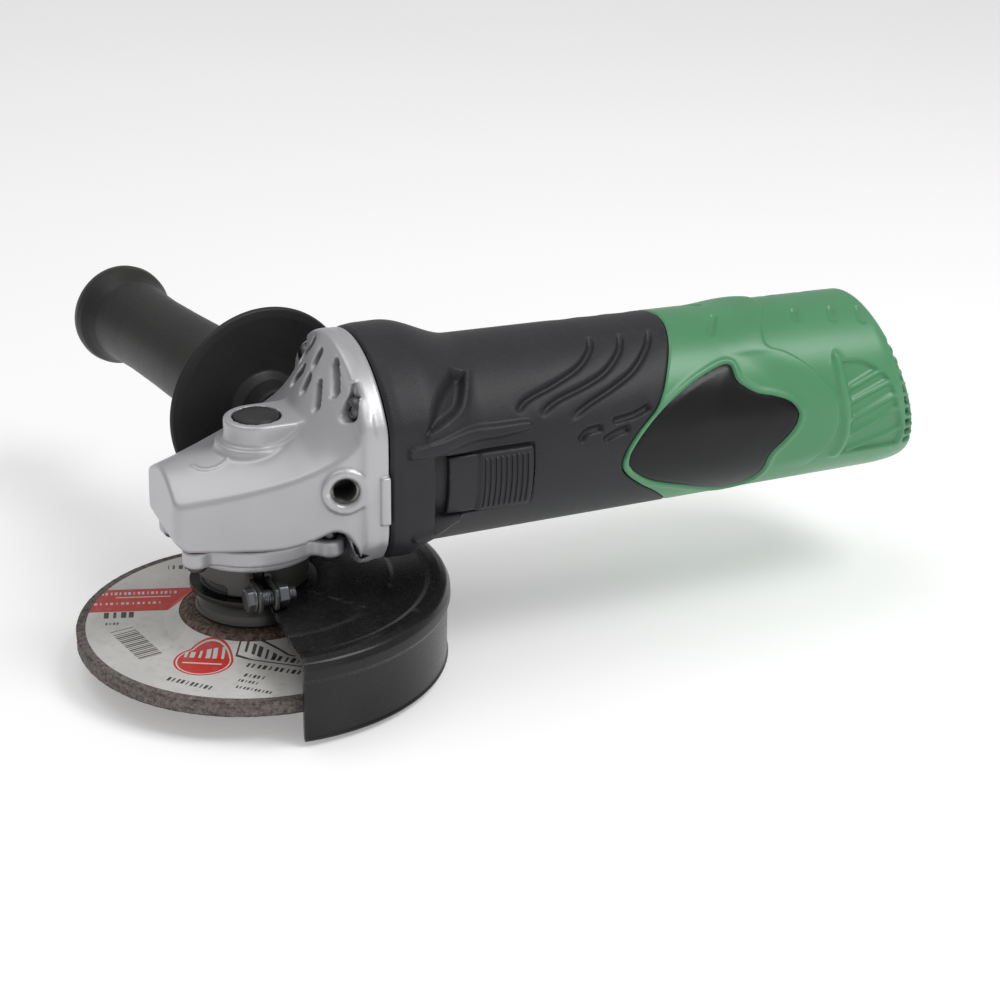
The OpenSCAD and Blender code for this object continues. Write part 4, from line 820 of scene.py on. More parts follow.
# %% Badge plates
def make_badge(name, side, node):
    """A plate on the near side (1) or the far side (-1)."""
    flat = BADGE_LINE * [1, ARC]
    lo, hi = flat.min(0), flat.max(0)
    gx, gy = np.meshgrid(np.arange(lo[0], hi[0], 1.1), np.arange(lo[1], hi[1], 1.1))
    spots = np.stack([gx.ravel(), gy.ravel()], -1)
    depth = depth_inside(spots[:, 0], spots[:, 1] / ARC, BADGE_LINE)
    spots = spots[depth > 0.75]
    edge = [(i, (i + 1) % len(flat)) for i in range(len(flat))]
    spots = [Vector(p) for p in np.vstack([flat, spots])]
    co, _, tris, *_ = geometry.delaunay_2d_cdt(spots, edge, [], 1, 1e-6)
    co = np.array([tuple(p) for p in co])
    depth = np.maximum(depth_inside(co[:, 0], co[:, 1] / ARC, BADGE_LINE), 0)
    lift = -0.35 + 0.45 * np.sqrt(smooth(0, 1.6, depth)) + 0.45 * smooth(0, 14, depth)
    turn = co[:, 1] / ARC
    top = on_shell(co[:, 0], barrel_at(co[:, 0]) + lift, turn * side)
    low = on_shell(co[:, 0], barrel_at(co[:, 0]) - 1.5, turn * side)
    n = len(co)
    faces = [tuple(t) for t in tris] + [tuple(n + i for i in t[::-1]) for t in tris]
    used = {}
    for t in tris:
        for a, b in zip(t, list(t[1:]) + [t[0]]):
            used[(a, b)] = used.get((a, b), 0) + 1
    faces += [(a, b, b + n, a + n) for a, b in used if (b, a) not in used]
    badge = make_piece(name, np.vstack([top, low]), faces, "casing", "badge_plastic", sharp=40)
    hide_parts(node)
    return badge


make_badge("badge_plate_near", 1, "badge_near")
make_badge("badge_plate_far", -1, "badge_far")

# %% [markdown]
# ## Slide switch knob
# The knob follows the barrel. Its front third is low and smooth, and behind a step it carries
# upright ribs for the thumb. The body is a grid like the shells, and the ribs are one rib repeated
# by Geometry Nodes: a mesh line gives the places, an instance of the rib stands at each, and the
# instances are made real.

# %% Knob body
KNOB_X, KNOB_LEN, STEP_X = 55.0, 28.6, 65.2
KNOB_LOW, KNOB_FRONT, KNOB_BACK, RIB_TOP = 31.0, 33.6, 34.3, 34.75      # radii
KNOB_FROM, KNOB_TO = 81.0, 113.0     # its flat part, in degrees of turn
profile = rounded([(KNOB_X, KNOB_LOW), (KNOB_X, KNOB_FRONT), (STEP_X - 0.7, KNOB_FRONT),
                   (STEP_X + 0.7, KNOB_BACK),
                   (KNOB_X + KNOB_LEN, KNOB_BACK), (KNOB_X + KNOB_LEN, KNOB_LOW)],
                  [0, 0.8, 0.5, 0.5, 1.1, 0], 5)
knob_turns = np.concatenate([[78.6, 78.6, 79.0, 79.8], np.linspace(KNOB_FROM, KNOB_TO, 40),
                             [114.2, 115.0, 115.4, 115.4]])
drop = np.concatenate([[99, 1.6, 0.55, 0.12], np.zeros(40), [0.12, 0.55, 1.6, 99]])
PX, PT = np.meshgrid(profile[:, 0], knob_turns)
PR = np.maximum(profile[:, 1][None, :] - drop[:, None], KNOB_LOW)
points = on_shell(PX, PR, PT)
faces = grid_faces(*points.shape[:2], False, True) + end_faces(*points.shape[:2])
knob = make_piece("switch_slide_knob", points.reshape(-1, 3), faces, "switch_slide", "black_plastic",
                  sharp=40)
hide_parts("switch_knob")

# %% Repeats by rule: a small Geometry Nodes toolbox
def node_tree(name, inputs):
    """A Geometry Nodes tree with named inputs: (name, socket type, value)."""
    tree = bpy.data.node_groups.new(name, "GeometryNodeTree")
    tree.interface.new_socket("Geometry", in_out="INPUT", socket_type="NodeSocketGeometry")
    ids = {}
    for label, kind, value in inputs:
        socket = tree.interface.new_socket(label, in_out="INPUT", socket_type=kind)
        if value is not None:
            socket.default_value = value
        ids[label] = socket.identifier
    tree.interface.new_socket("Geometry", in_out="OUTPUT", socket_type="NodeSocketGeometry")
    return tree, tree.nodes.new("NodeGroupInput"), tree.nodes.new("NodeGroupOutput"), ids


def finish_tree(tree, geometry_out, g_out, material):
    """The usual ending: instances made real, and the material set."""
    real = add(tree, "GeometryNodeRealizeInstances", {"Geometry": geometry_out})
    painted = add(tree, "GeometryNodeSetMaterial", {"Geometry": real.outputs[0], "Material": material})
    tree.links.new(painted.outputs[0], g_out.inputs[0])


def run_tree(name, tree, ids, values, seed, body, sharp=35):
    """Runs a tree on a seed mesh and keeps the result as one plain mesh riding on a body."""
    holder = bpy.data.objects.new(name, seed)
    bpy.context.scene.collection.objects.link(holder)
    modifier = holder.modifiers.new("rule", "NODES")
    modifier.node_group = tree
    for label, value in values.items():
        modifier[ids[label]] = value
    bpy.context.view_layer.update()
    graph = bpy.context.evaluated_depsgraph_get()
    result = bpy.data.meshes.new_from_object(holder.evaluated_get(graph), depsgraph=graph)
    holder.modifiers.clear()
    holder.data = result
    result.name = name
    material = result.materials[0] if result.materials else None
    settle(holder, sharp)
    if material is not None and not result.materials:
        result.materials.append(material)
    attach(holder, body)
    print(name, len(result.polygons), "faces from a rule")
    return holder


def seed_mesh(name, points, faces):
    """A small mesh used as the thing that a rule repeats. Points are in millimetres."""
    mesh = bpy.data.meshes.new(name)
    mesh.from_pydata((np.asarray(points, float) * MM).tolist(), [], [tuple(map(int, f)) for f in faces])
    return mesh


# %% Knob ribs: one curved rib repeated along X
def rib_mesh():
    """One rib that follows the knob's arc, 1.05 mm wide, with a rounded top."""
    outline = rounded([(-0.55, KNOB_FRONT), (-0.5, RIB_TOP), (0.5, RIB_TOP), (0.55, KNOB_FRONT)],
                      [0, 0.42, 0.42, 0], 4)
    turns = np.linspace(KNOB_FROM, KNOB_TO, 40)
    fade = smooth(0, 1.6, turns - KNOB_FROM) * smooth(0, 1.6, KNOB_TO - turns)
    x, t = np.meshgrid(outline[:, 0], turns)
    r = KNOB_FRONT + (outline[:, 1][None, :] - KNOB_FRONT) * (0.35 + 0.65 * fade[:, None])
    points = on_shell(x, r, t)
    faces = grid_faces(*x.shape, False, True) + end_faces(*x.shape)
    return seed_mesh("rib", points.reshape(-1, 3), faces)


tree, g_in, g_out, ids = node_tree("Ribs in a row", [("Count", "NodeSocketInt", 9),
                                                     ("First", FLOAT, 0.0), ("Pitch", FLOAT, 0.0017)])
start = add(tree, "ShaderNodeCombineXYZ", {"X": g_in.outputs["First"]})
step = add(tree, "ShaderNodeCombineXYZ", {"X": g_in.outputs["Pitch"]})
row = add(tree, "GeometryNodeMeshLine", {"Count": g_in.outputs["Count"], "Start Location": start.outputs[0],
                                         "Offset": step.outputs[0]})
copies = add(tree, "GeometryNodeInstanceOnPoints", {"Points": row.outputs[0], "Instance": g_in.outputs[0]})
finish_tree(tree, copies.outputs[0], g_out, FINISH["black_plastic"])
run_tree("switch_knob_ribs", tree, ids, {"Count": 9, "First": 67.3 * MM, "Pitch": 1.82 * MM}, rib_mesh(),
         "switch_slide")

# %% [markdown]
# ## Gear case
# The die casting is the hardest shape: a nose with flat facets, a deck that climbs to a shoulder,
# and a flange that meets the housing. It is one distance field. The side walls follow a gentle
# curve in plan, the deck and shoulder are a height for every place seen from above, and where wall
# and deck meet, a small blend leaves the bright edge that painted castings have. Vents, screw
# pockets, the handle's threaded hole and the gear chamber are cut from it.

# %% The gear case as a field
NOSE_X = -29.5
SIDE = np.array([(-30, 16.9), (-26.6, 17.9), (-15.8, 21.6), (-5.1, 25.2), (6.4, 28.7), (16.6, 31.2),
                 (26, 33.4), (36, 34.8)])
CREASE = np.array([(-30, 58.4), (-26.6, 59.0), (-15.8, 61.2), (-5.1, 63.8), (6.4, 67.3), (16.6, 71.6),
                   (22, 75.2), (26, 79.5), (28, 84.0), (36, 86)])
LOWER = np.array([(-30, 43.2), (-9.2, 43.2), (2, 43.6), (9, 45.2), (14, 47.4), (18, 48.9), (21.5, 47.6),
                  (24.2, 43.5), (26.4, 37.5), (27.8, 33.9), (40, 33.9)])
MIDDLE = np.array([(-30, 65.0), (-20, 67.0), (-8, 69.4), (4, 72.0), (11, 75.4), (15, 79.6), (19.4, 87.4),
                   (23, 95.2), (26, 100.2), (28.5, 102.2), (36, 102.4)])


def through(table, x):
    """A smooth curve through the rows of a table, as a function of x."""
    line = curve(table, 8)
    return np.interp(x, line[:, 0], line[:, 1])


def handle_frame(x, y, z, side):
    """Distance from the handle's leaned axis, and how far out along it. side 1 is the far side."""
    ax, ay = -math.sin(HANDLE_LEAN), side * math.cos(HANDLE_LEAN)
    out = (x - HANDLE_X) * ax + y * ay
    return np.sqrt(np.maximum((x - HANDLE_X) ** 2 + y ** 2 - out ** 2, 0) + (z - AXIS_Z) ** 2), out


def rounded_box(x, y, z, centre, half, radius):
    """Distance to a box with rounded edges."""
    q = [np.abs(v - c) - h + radius for v, c, h in zip((x, y, z), centre, half)]
    outside = far(*[np.maximum(v, 0) for v in q])
    return outside + np.minimum(np.maximum(np.maximum(q[0], q[1]), q[2]), 0) - radius


def slot_field(x, y, z, a, b, radius):
    """Distance to a slot cut along X: a capsule in (y, z) from a to b."""
    ay, az, by, bz = *a, *b
    size = (by - ay) ** 2 + (bz - az) ** 2
    t = np.clip(((y - ay) * (by - ay) + (z - az) * (bz - az)) / max(size, 1e-6), 0, 1)
    return far(y - ay - t * (by - ay), z - az - t * (bz - az)) - radius + 0 * x


# Air outlets on the shoulder: both ends as (y, z), and the radius
OUTLETS = [((0, 93.6), (0, 96.4), 2.0), ((0, 85.4), (0, 88.4), 2.0)]
for side in (1, -1):
    OUTLETS += [((side * 7.8, 89.2), (side * 11.6, 83.6), 1.75),
                ((side * 10.6, 96.6), (side * 16.2, 89.4), 1.9)]
HANDLE_HOLE_R, LOWER_SCREW = 4.35, (28.0, 42.0)


def case_field(x, y, z):
    """Distance to the gear case, in millimetres, negative inside."""
    ay = np.abs(y)
    half = through(SIDE, x)
    # Deck and shoulder: height over the plan, highest in the middle and falling to the edge line
    share = np.clip(ay / half, 0, 1)
    crest, edge = through(MIDDLE, x), through(CREASE, x)
    steep = smooth(8, 22, x)
    bow = (1 - share ** 1.7) * (1 - steep) + (1 - share ** 2) ** 1.35 * steep
    top = edge + (crest - edge) * bow
    slope = np.abs(np.gradient(top, x.ravel(), axis=0)) if top.shape[0] > 2 else 0
    deck = (z - top) / np.sqrt(1 + slope ** 2)
    wall = (ay - half) * 0.985
    front = both(NOSE_X - x, (NOSE_X + 0.9 - x) * 0.7 + (45.6 - z) * 0.7, 0.8)
    front = both(front, NOSE_X - x + (z - 56.0) * 0.08, 1.0)
    corner = (-x - 29.4) * 0.72 + (ay - 15.2) * 0.42
    low = (through(LOWER, x) - z) * 0.9
    body = both(both(deck, wall, 1.5), both(front, low, 1.0), 1.4)
    body = both(body, corner, 1.2)
    body = np.maximum(body, x - 29.5)
    # The flange takes the shared outline, from the shoulder to the joint
    turn = np.degrees(np.arctan2(-y, z - AXIS_Z))
    outline = far(y, z - AXIS_Z) - flange_radius(turn) + 0.25
    body = both(body, outline - np.maximum(26.0 - x, 0) * 2.5, 0.8)
    flange = both(outline, slab_field(x, 26.9, JOINT_X - JOINT_GAP), 1.4)
    body = join(body, flange, 2.2)
    # Collar of the lock button, with a ledge that runs back into the shoulder
    from_button = far(x - BUTTON_X, y)
    collar = both(np.where(x > BUTTON_X, ay, from_button) - 10.5, slab_field(z, 60, 78.7), 0.9)
    collar = np.maximum(collar, x - 24)
    tier = both(far(x - 2.0, y) - 12.6, slab_field(z, 60, 71.6), 0.9)
    body = join(join(body, tier, 1.6), collar, 1.6)
    # Arc raised on the nose
    arc = np.sqrt((far(x + 13.5, y + 3) - 6.2) ** 2 + (z - top) ** 2) - 0.55
    arc = np.maximum(arc, y + 4.2)
    body = join(body, arc, 0.6)
    # Rings round the handle's holes
    for side in (1, -1):
        away, out = handle_frame(x, y, z, side)
        body = join(body, both(away - 7.3, slab_field(out, 20, 34.35), 0.7), 1.2)
    # Small step panels beside the joint
    panel = rounded_box(x, ay, z, (33.2, 35.4, 59), (1.6, 1.0, 8.0), 0.4)
    body = join(body, panel, 0.5)
    # Air outlets on the shoulder
    for a, b, radius in OUTLETS:
        hole = np.maximum(slot_field(x, y, z, a, b, radius), slab_field(x, 14.5, 31.5))
        body = cut(body, hole, 0.4)
    # Teardrop pockets of the upper case screws, and pockets of the lower ones
    depth = slab_field(x, 10, 28.6)
    for side in (1, -1):
        drop_a = slot_field(x, y, z, (side * 24.6, 86.6), (side * 24.6, 86.6), 3.9)
        drop_b = slot_field(x, y, z, (side * 23.2, 92.5), (side * 23.2, 92.5), 1.6)
        body = cut(body, np.maximum(join(drop_a, drop_b, 5.5), depth), 1.0)
        seat = (side * LOWER_SCREW[0], LOWER_SCREW[1])
        lower = slot_field(x, y, z, seat, seat, 4.3)
        body = cut(body, np.maximum(lower, depth), 0.8)
        away, out = handle_frame(x, y, z, side)
        body = cut(body, np.maximum(away - HANDLE_HOLE_R, 20.5 - out))
        countersink = away - HANDLE_HOLE_R - np.maximum(out - 33.4, 0) * 0.8
        body = cut(body, np.maximum(countersink, 30.0 - out), 0.2)
    # Chambers inside: ring gear, pinion, front bearing, air ring and the lock button's well
    from_axis = far(x, y)
    from_motor = far(y, z - AXIS_Z)
    ring = np.maximum(from_motor - 31.0, 17.9 - from_motor)
    for away, behind in ((from_axis - 22.6, z - 59.5), (from_motor - 8.6, 4 - x), (from_motor - 13.0, 24 - x),
                         (from_motor - 17.9, 32 - x), (ring, 28.6 - x), (from_axis - 6.1, z - 70),
                         (from_button - 4.6, z - 80), (from_button - 7.8, 74.0 - z)):
        body = cut(body, np.maximum(away, behind))
    return body


case = mesh_field("gear_case_casting", case_field, (-31, -37.5, 32.5), (36.2, 37.5, 104), 0.55, "casing",
                  "cast_silver", sharp=60)
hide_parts("gear_case")

# %% [markdown]
# ## Bearing cover, clamp and other turned parts
# Below the case a cover holds the spindle's bearing, and its neck carries the guard's clamp band.
# The cover and the clamp are fields too, so that their edges come out rounded as cast and pressed
# parts are.

# %% Bearing cover
LUGS = [(-22, 14), (-22, -14), (19.5, 20.5), (19.5, -20.5)]


def cover_field(x, y, z):
    """Distance to the bearing cover."""
    plan = far(x, y) - 24.2
    for lx, ly in LUGS:
        arm = slot_field(0, x, y, (lx * 0.6, ly * 0.6), (lx, ly), 4.5)
        plan = join(plan, arm, 3.0)
    body = both(plan, slab_field(z, 37.3, 42.95), 1.0)
    step = both(far(x, y) - 21.5, slab_field(z, 34.4, 38), 0.8)
    neck = both(far(x, y) - 15.0, slab_field(z, 24.6, 38), 0.4)
    body = join(body, step, 0.8)
    body = join(body, neck, 1.0)
    for lx, ly in LUGS:
        away = far(x - lx, y - ly)
        body = cut(body, np.maximum(away - 3.7, z - 38.2), 0.3)
        body = cut(body, away - 2.1)
    away = far(x, y)
    hollow = np.minimum(np.maximum(away - 16.0, 37.3 - z), np.maximum(away - 12.0, slab_field(z, 33, 40)))
    hollow = np.minimum(hollow, np.maximum(away - 11.6, z - 40))
    return cut(body, hollow)


cover = mesh_field("bearing_cover_casting", cover_field, (-29, -27.5, 23.5), (26.5, 27.5, 44), 0.5, "casing",
                   "cast_silver", sharp=60)
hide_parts("bearing_cover")

# %% Guard: one pressed section swept through half a turn and a little more
PLATE_LOW, PLATE_TOP, SKIRT_LOW = 21.6, 23.4, -4.4
section = [(15.2, PLATE_TOP), (44, PLATE_TOP), (45.5, PLATE_TOP - 0.7), (55.5, PLATE_TOP - 0.7),
           (57.5, PLATE_TOP + 0.05), (60.2, PLATE_TOP), (62.6, PLATE_TOP - 1.0), (63.7, PLATE_TOP - 3.2),
           (63.9, PLATE_TOP - 6.5), (62.9, PLATE_TOP - 7.6),
           (62.6, SKIRT_LOW + 1.6), (63.2, SKIRT_LOW + 0.8), (62.8, SKIRT_LOW), (61.6, SKIRT_LOW + 0.2),
           (61.0, SKIRT_LOW + 2), (61.2, PLATE_TOP - 7.6), (62.2, PLATE_TOP - 6.2), (62.0, PLATE_TOP - 3.6),
           (60.4, PLATE_TOP - 1.9), (57.5, PLATE_TOP - 1.7), (55.5, PLATE_TOP - 2.4), (45.5, PLATE_TOP - 2.4),
           (44, PLATE_LOW), (15.2, PLATE_LOW)]
corner_radii = [0.2, 2, 2, 2, 1.5, 2, 2, 2, 1.5, 1.2, 1.0, 0.5, 0.6, 0.5, 1.0, 1.2, 1.5, 2, 2, 1.5, 2, 2, 2,
                0.2]
guard_outline = rounded(section, corner_radii, 3)
guard = turned("guard_pressing", guard_outline, "guard_set", "guard_paint", segments=150,
               angle=math.radians(186), start=-math.radians(93), sharp=50)
collar = rounded([(15.1, PLATE_LOW), (20.5, PLATE_LOW), (20.5, PLATE_TOP + 0.1), (16.7, PLATE_TOP + 0.3),
                  (16.55, 34.2), (15.1, 34.2)], [0, 0.3, 0.3, 0.6, 0.3, 0.2], 3)
turned("guard_collar", collar, "guard_set", "guard_paint", segments=120)
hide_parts("guard")

# %% Clamp band with its ears
def from_clamp_screw(y, z):
    """Distance from the axis of the clamp's screw."""
    return far(y - CLAMP_Y, z - CLAMP_Z)


def clamp_field(x, y, z):
    """Distance to the clamp band, its ears and its notch."""
    away = far(x, y)
    band = both(slab_field(away, 16.7, 18.1), slab_field(z, 24.0, 33.9), 0.5)
    body = band
    for side in (1, -1):
        middle = CLAMP_X + side * 2.65
        ear = rounded_box(x, y, z, (middle, -23.4, 27.7), (0.85, 6.1, 3.75), 0.8)
        ear = both(ear, far(y + 23.2, z - CLAMP_Z) - 6.4, 0.4)
        body = join(body, ear, 0.9)
    gap = rounded_box(x, y, z, (CLAMP_X, -30, 29), (1.75, 22, 20), 0.1)
    body = cut(body, gap)
    body = cut(body, np.maximum(from_clamp_screw(y, z) - 2.55, np.abs(x - CLAMP_X) - 10))
    notch = rounded_box(x, y, z, (-19, 0, 24.2), (7, 13.5, 2.9), 1.5)
    return cut(body, notch, 0.4)


clamp = mesh_field("clamp_band", clamp_field, (-19.5, -31, 22.8), (19.5, 19.5, 35.2), 0.36, "guard_set",
                   "dark_steel", sharp=55)
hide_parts("guard_clamp")

# %% Inner flange, wheel and label
flange_line = rounded([(7.1, 13.5), (17.6, 13.5), (18.7, 13.7), (19.0, 14.6), (18.5, 15.3),
                       (18.2, 17.2), (17.4, 18.4), (16.2, 20.3), (14.8, 20.8), (9.7, 20.8), (9.5, 23.9),
                       (7.1, 23.9)],
                      [0, 0.3, 0.5, 0.4, 0.4, 0.5, 0.5, 0.6, 0.6, 0.4, 0.3, 0], 3)
flange = turned("inner_flange_turned", flange_line, "spindle_set", "dark_steel", segments=160)
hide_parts("inner_flange")

wheel_line = rounded([(11.2, 8.25), (22.0, 8.25), (29.0, 2.85), (57.0, 2.85), (57.5, 3.4), (57.5, 7.6),
                      (57.0, 8.0), (29.0, 8.0), (22.0, 13.35), (11.2, 13.35)],
                     [0.2, 2, 2, 0.5, 0.3, 0.3, 0.5, 2, 2, 0.2], 4)
FINE = []
for a, b in zip(wheel_line, np.roll(wheel_line, -1, 0)):
    n = max(1, int(np.hypot(*(b - a)) / 1.3))
    FINE += [a + (b - a) * i / n for i in range(n)]
wheel = turned("abrasive_wheel", np.array(FINE), "spindle_set", "abrasive", segments=320, sharp=60)
# Grit stands out of the rim: each point moves a little by a fixed pseudo-random amount
rng = np.random.default_rng(7)
co = np.array([v.co for v in wheel.data.vertices])
away = np.hypot(co[:, 0], co[:, 1])
rough = np.where(away > 0.0560, rng.uniform(-0.00035, 0.0, len(co)), 0)
co[:, 0] += co[:, 0] / away * rough
co[:, 1] += co[:, 1] / away * rough
wheel.data.vertices.foreach_set("co", co.ravel())
wheel.data.update()
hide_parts("wheel")

label_line = [(24.3, 11.95), (29.0, 8.3), (29.6, 8.15), (54.2, 8.1), (54.4, 8.0), (54.4, 7.9), (29.0, 7.9),
              (24.3, 11.6)]
label = turned("wheel_paper", label_line, "spindle_set", "label_paper", segments=240, sharp=40)
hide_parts("wheel_label")

# %% [markdown]
# ## Side handle and lock button
# The handle is turned from one outline: a neck that screws against the case, a wide hand stop, a
# waisted grip and a knob with a shallow dish. It is turned round Z at the origin and then laid
# along its own leaned axis.

# %% Side handle
def along_handle(points):
    """Lays points turned round Z along the handle's axis, which starts where it crosses the motor axis."""
    ax = np.array([-math.sin(HANDLE_LEAN), math.cos(HANDLE_LEAN), 0])
    side = np.array([math.cos(HANDLE_LEAN), math.sin(HANDLE_LEAN), 0])
    origin = np.array([HANDLE_X, 0, AXIS_Z])
    return origin + points[:, :1] * side + points[:, 1:2] * np.array([0, 0, 1]) + points[:, 2:] * ax


FACE = 34.4
handle_line = [(0.02, 40), (4.3, 40), (4.3, 0.35), (8.9, 0.35), (9.6, 1.2), (10.4, 7.6), (12.6, 10.4),
               (18, 10.8), (31.0, 11.1), (33.6, 11.6), (34.2, 12.8), (33.4, 13.8), (30.5, 14.1),
               (19.0, 16.0), (16.6, 18.4), (15.6, 22.5), (15.5, 40), (15.3, 56), (14.7, 74), (14.4, 92),
               (14.9, 110.5), (16.2, 113.4), (18.0, 116.2), (18.4, 119.0), (17.9, 121.8), (16.2, 123.8),
               (14.6, 124.0), (13.2, 123.2), (12.2, 121.6), (0.02, 121.2)]
handle_line = rounded([(r, h + FACE) for r, h in handle_line],
                      [0, 0, 0, .4, .5, 1, 2, 3, 2, 1, .7, .7, 2, 3, 2, 3, 9, 9, 9, 9, 3, 2, 1.6, 1.6, 1.4, 1,
                       .8, .8, .8, 0], 5)
handle = turned("side_handle_grip", handle_line, "side_handle", "grip_plastic", segments=180,
                place=along_handle, sharp=50)
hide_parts("handle_grip")

# %% Thread in the free hole on the near side
thread_line = [(0.02, 20.7), (4.3, 20.7), (4.3, 32.6)]
for i in range(9):
    thread_line += [(3.65, 32.2 - 1.1 * i), (4.15, 31.65 - 1.1 * i)]
thread_line += [(3.65, 22.2), (0.02, 22.2)]
turned("handle_thread", thread_line, "casing", "dark_steel", segments=64,
       place=lambda points: along_handle(points) * [1, -1, 1], sharp=30)

# %% Lock button: a low dome
button_line = rounded([(5.2, 78.6), (0.02, 78.6), (0.02, 80.3), (3.4, 80.15), (6.0, 79.5), (7.2, 78.6),
                       (7.45, 77.3), (5.2, 77.3)], [0, 0, 0, 6, 3, 0.8, 0.2, 0], 5)
button = turned("lock_button_cap", button_line, "lock_set", "button_plastic",
                place=lambda p: p + [BUTTON_X, 0, 0], segments=96)
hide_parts("lock_button")

# %% [markdown]
# ## Screws by rule
# Every visible screw is the same small thing in several places: a pan head with a cross in it. The
# rule takes a list of places as the seed's points, and a head, turned along the screw's axis,
# stands on each.

# %% Screw heads
def head_mesh(name, radius, height, shank, reach):
    """A pan-head screw along +Z with its cross cut in as a star-shaped hollow. Its seat is at z = 0."""
    n = 64
    turn = np.arange(n) * 2 * math.pi / n
    lobe = np.abs(np.cos(2 * turn)) ** 6
    rings = [(shank, -reach), (shank, 0), (radius * 0.97, 0), (radius, height * 0.2),
             (radius * 0.96, height * 0.62), (radius * 0.8, height * 0.92), (radius * 0.66, height)]
    star = radius * (0.16 + 0.46 * lobe)
    rings += [(star, height), (star * 0.9, height * 0.35)]
    points = np.concatenate([np.stack([r * np.cos(turn), r * np.sin(turn), np.full(n, z)], -1)
                             for r, z in rings])
    rows = len(rings)
    faces = grid_faces(rows, n, False, True)
    faces += [tuple(range(n))[::-1], tuple((rows - 1) * n + i for i in range(n))]
    return seed_mesh(name, points, faces)


def screws(name, head, places, direction, body, replaces):
    """Heads at places (seats, in millimetres), all along one direction."""
    tree, g_in, g_out, ids = node_tree(name + " rule", [("Head", "NodeSocketObject", None),
                                                        ("Axis", VECTOR, (0, 0, 1)), ("Spin", FLOAT, 0.6)])
    info = add(tree, "GeometryNodeObjectInfo", {"Object": g_in.outputs["Head"]})
    facing = add(tree, "FunctionNodeAlignRotationToVector", {"Vector": g_in.outputs["Axis"]}, axis="Z")
    index = add(tree, "GeometryNodeInputIndex")
    spin = add(tree, "ShaderNodeMath", {0: index.outputs[0], 1: g_in.outputs["Spin"]}, operation="MULTIPLY")
    own = add(tree, "ShaderNodeCombineXYZ", {"Z": spin.outputs[0]})
    copies = add(tree, "GeometryNodeInstanceOnPoints", {
        "Points": g_in.outputs[0], "Instance": info.outputs["Geometry"], "Rotation": facing.outputs[0]})
    spun = add(tree, "GeometryNodeRotateInstances", {"Instances": copies.outputs[0],
                                                     "Rotation": own.outputs[0]})
    finish_tree(tree, spun.outputs[0], g_out, FINISH["zinc_steel"])
    holder = bpy.data.objects.new(name + "_head", head)
    bpy.context.scene.collection.objects.link(holder)
    piece = run_tree(name, tree, ids, {"Head": holder, "Axis": tuple(direction), "Spin": 0.7},
                     seed_mesh(name + " places", places, []), body)
    bpy.data.objects.remove(holder)
    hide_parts(*replaces)
    return piece


# Seats of the screws, all in millimetres
screws("case_screw_heads", head_mesh("case head", 3.6, 3.0, 2.0, 16),
       [(28.5, 25, 87), (28.5, -25, 87), (28.5, 28, 42), (28.5, -28, 42)], (-1, 0, 0), "casing",
       ["case_screws"])
screws("cover_screw_heads", head_mesh("cover head", 3.4, 2.6, 2.0, 12), [(x, y, 38.0) for x, y in LUGS],
       (0, 0, -1), "casing", ["cover_screws"])

# %% Clamp screw with its hexagon head, washer and nut
def hex_field(x, y, z, start, across, low, high):
    """Distance to a hexagon on the clamp screw's axis, with rounded ends. across is the width over flats."""
    u, v = y - CLAMP_Y, z - CLAMP_Z
    slants = np.maximum(np.abs(0.5 * v + 0.866 * u), np.abs(0.5 * v - 0.866 * u))
    flats = np.maximum(np.abs(v), slants) - across / 2
    dome = from_clamp_screw(y, z) - across * 0.56
    return both(both(flats, dome, 0.3), slab_field(x - start, low, high), 0.5)


def clamp_screw_field(x, y, z):
    """Distance to the clamp screw: head, washer and threaded shank."""
    away = from_clamp_screw(y, z)
    head = hex_field(x, y, z, -6.7, 7.3, -3.35, -0.5)
    washer = both(away - 4.15, slab_field(x, -7.5, -6.75), 0.3)
    thread = both(away - 2.4 - 0.12 * np.sin(x * 2 * math.pi / 0.8), slab_field(x, -7.2, 6.2), 0.3)
    return join(join(head, washer, 0.2), thread)


screw = mesh_field("clamp_screw_with_washer", clamp_screw_field, (-11.2, -30.6, 22), (7.4, -19.6, 33.2), 0.22,
                   "guard_set", "zinc_steel", sharp=50)
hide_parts("guard_clamp_screw")


def nut_field(x, y, z):
    """Distance to the clamp's nut."""
    return cut(hex_field(x, y, z, 0.1, 7.6, 0.1, 3.55), from_clamp_screw(y, z) - 2.6 + 0 * x)


nut = mesh_field("clamp_nut", nut_field, (-0.8, -30.6, 22), (4.8, -19.6, 33.2), 0.22, "guard_set",
                 "zinc_steel", sharp=50)
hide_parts("guard_clamp_nut")

# %% [markdown]
# ## The parts that stay as CAD made them
# Gears, motor, bearings and springs are seen only through gaps or in a cut view. They keep their
# CAD meshes, and each takes the finish of its slot in the record, so none has a flat colour.

# %% Finishes for the CAD nodes
slot_of = {}
for name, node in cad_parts.items():
    label = node.data.materials[0].name.split(".")[0] if node.data.materials else "steel"
    slot_of[name] = label if label in FINISH else "steel"
    node.data.materials.clear()
    node.data.materials.append(FINISH[slot_of[name]])
print(len(slot_of), "CAD nodes,", sorted(set(slot_of.values())))

# %% [markdown]
# ## Floor, light and camera
# A wide pale floor that turns white in the distance and three large soft lights give the even light
# of a product picture. The main light stands high and to the right, so that decks are bright and
# the nose's front is in shade.

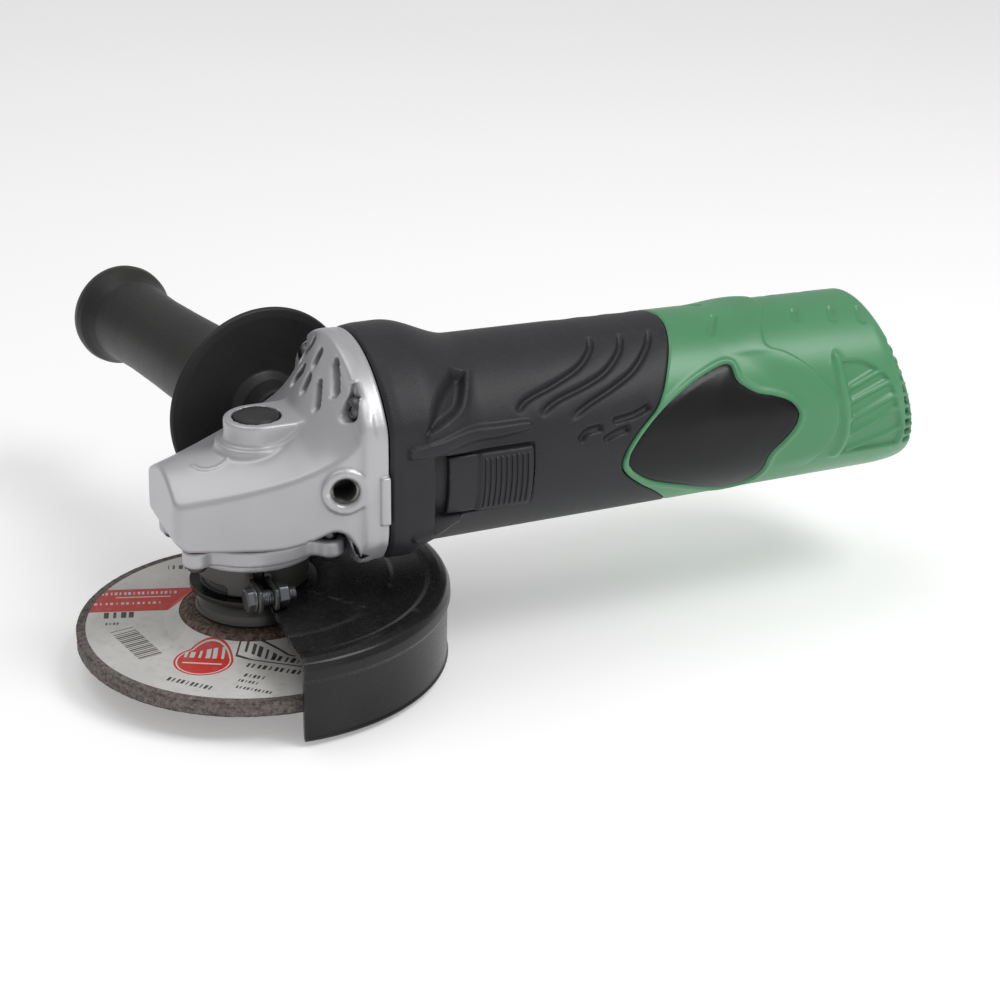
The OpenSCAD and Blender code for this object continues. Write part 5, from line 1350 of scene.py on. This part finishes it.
# %% Floor
FLOOR_Z, FLOOR_SIZE = -0.0062, 12.0  # metres; the guard's skirt hangs just above the floor
bpy.ops.mesh.primitive_plane_add(size=FLOOR_SIZE, location=(0.1, 0, FLOOR_Z))
floor = bpy.context.object
floor.name = "studio_floor"
pale, tree, shader = new_material("Pale floor")
toned = use_group(tree, "Slow tone", {"Scale": 2.0})
colour = mix(tree, toned.outputs["Value"], (0.86, 0.86, 0.86, 1), (0.88, 0.88, 0.88, 1))
tree.links.new(colour, shader.inputs["Base Color"])
set_shader(shader, Roughness=0.8, Specular_IOR_Level=0.1, Emission_Color=(1.0, 1.0, 1.0, 1),
           Emission_Strength=0.26)
floor.data.materials.append(pale)

world = bpy.data.worlds.new("Studio")
bpy.context.scene.world = world
world.use_nodes = True
world.node_tree.nodes["Background"].inputs["Color"].default_value = (1.0, 1.0, 1.0, 1)
world.node_tree.nodes["Background"].inputs["Strength"].default_value = 0.42


def soft_light(name, place, target, size, power):
    """A square area light aimed at a point. Places in metres."""
    data = bpy.data.lights.new(name, "AREA")
    data.shape, data.size, data.energy = "SQUARE", size, power
    lamp = bpy.data.objects.new(name, data)
    bpy.context.scene.collection.objects.link(lamp)
    lamp.location = place
    lamp.rotation_euler = (Vector(target) - Vector(place)).to_track_quat("-Z", "Y").to_euler()


GEAR_CASE = (0.05, 0, 0.05)
soft_light("main light", (0.55, -0.45, 1.0), GEAR_CASE, 0.55, 6.2)
soft_light("top light", (-0.2, 0.25, 1.1), GEAR_CASE, 0.8, 2.4)
soft_light("fill light", (0.3, -1.15, 0.35), (0.08, 0, 0.05), 0.7, 0.8)

# %% Camera, placed by its own axes: right, up and back, in the row frame
data = bpy.data.cameras.new("camera")
camera = bpy.data.objects.new("camera", data)
bpy.context.scene.collection.objects.link(camera)
right = Vector((0.92573955, -0.37800287, 0.01095951))
above = Vector((0.14471804, 0.38089574, 0.91322239))
behind = Vector((-0.34937511, -0.84382005, 0.40731408))
camera.matrix_world = Matrix.Translation((-0.19166, -0.67071, 0.36016)) @ Matrix(
    (right, above, behind)).transposed().to_4x4()
data.sensor_width = 36.0
data.lens = 85.78
data.clip_start, data.clip_end = 0.01, 50
bpy.context.scene.camera = camera
bpy.context.scene.view_settings.view_transform = "Standard"

# %% Update the view layer and finish
bpy.context.view_layer.update()
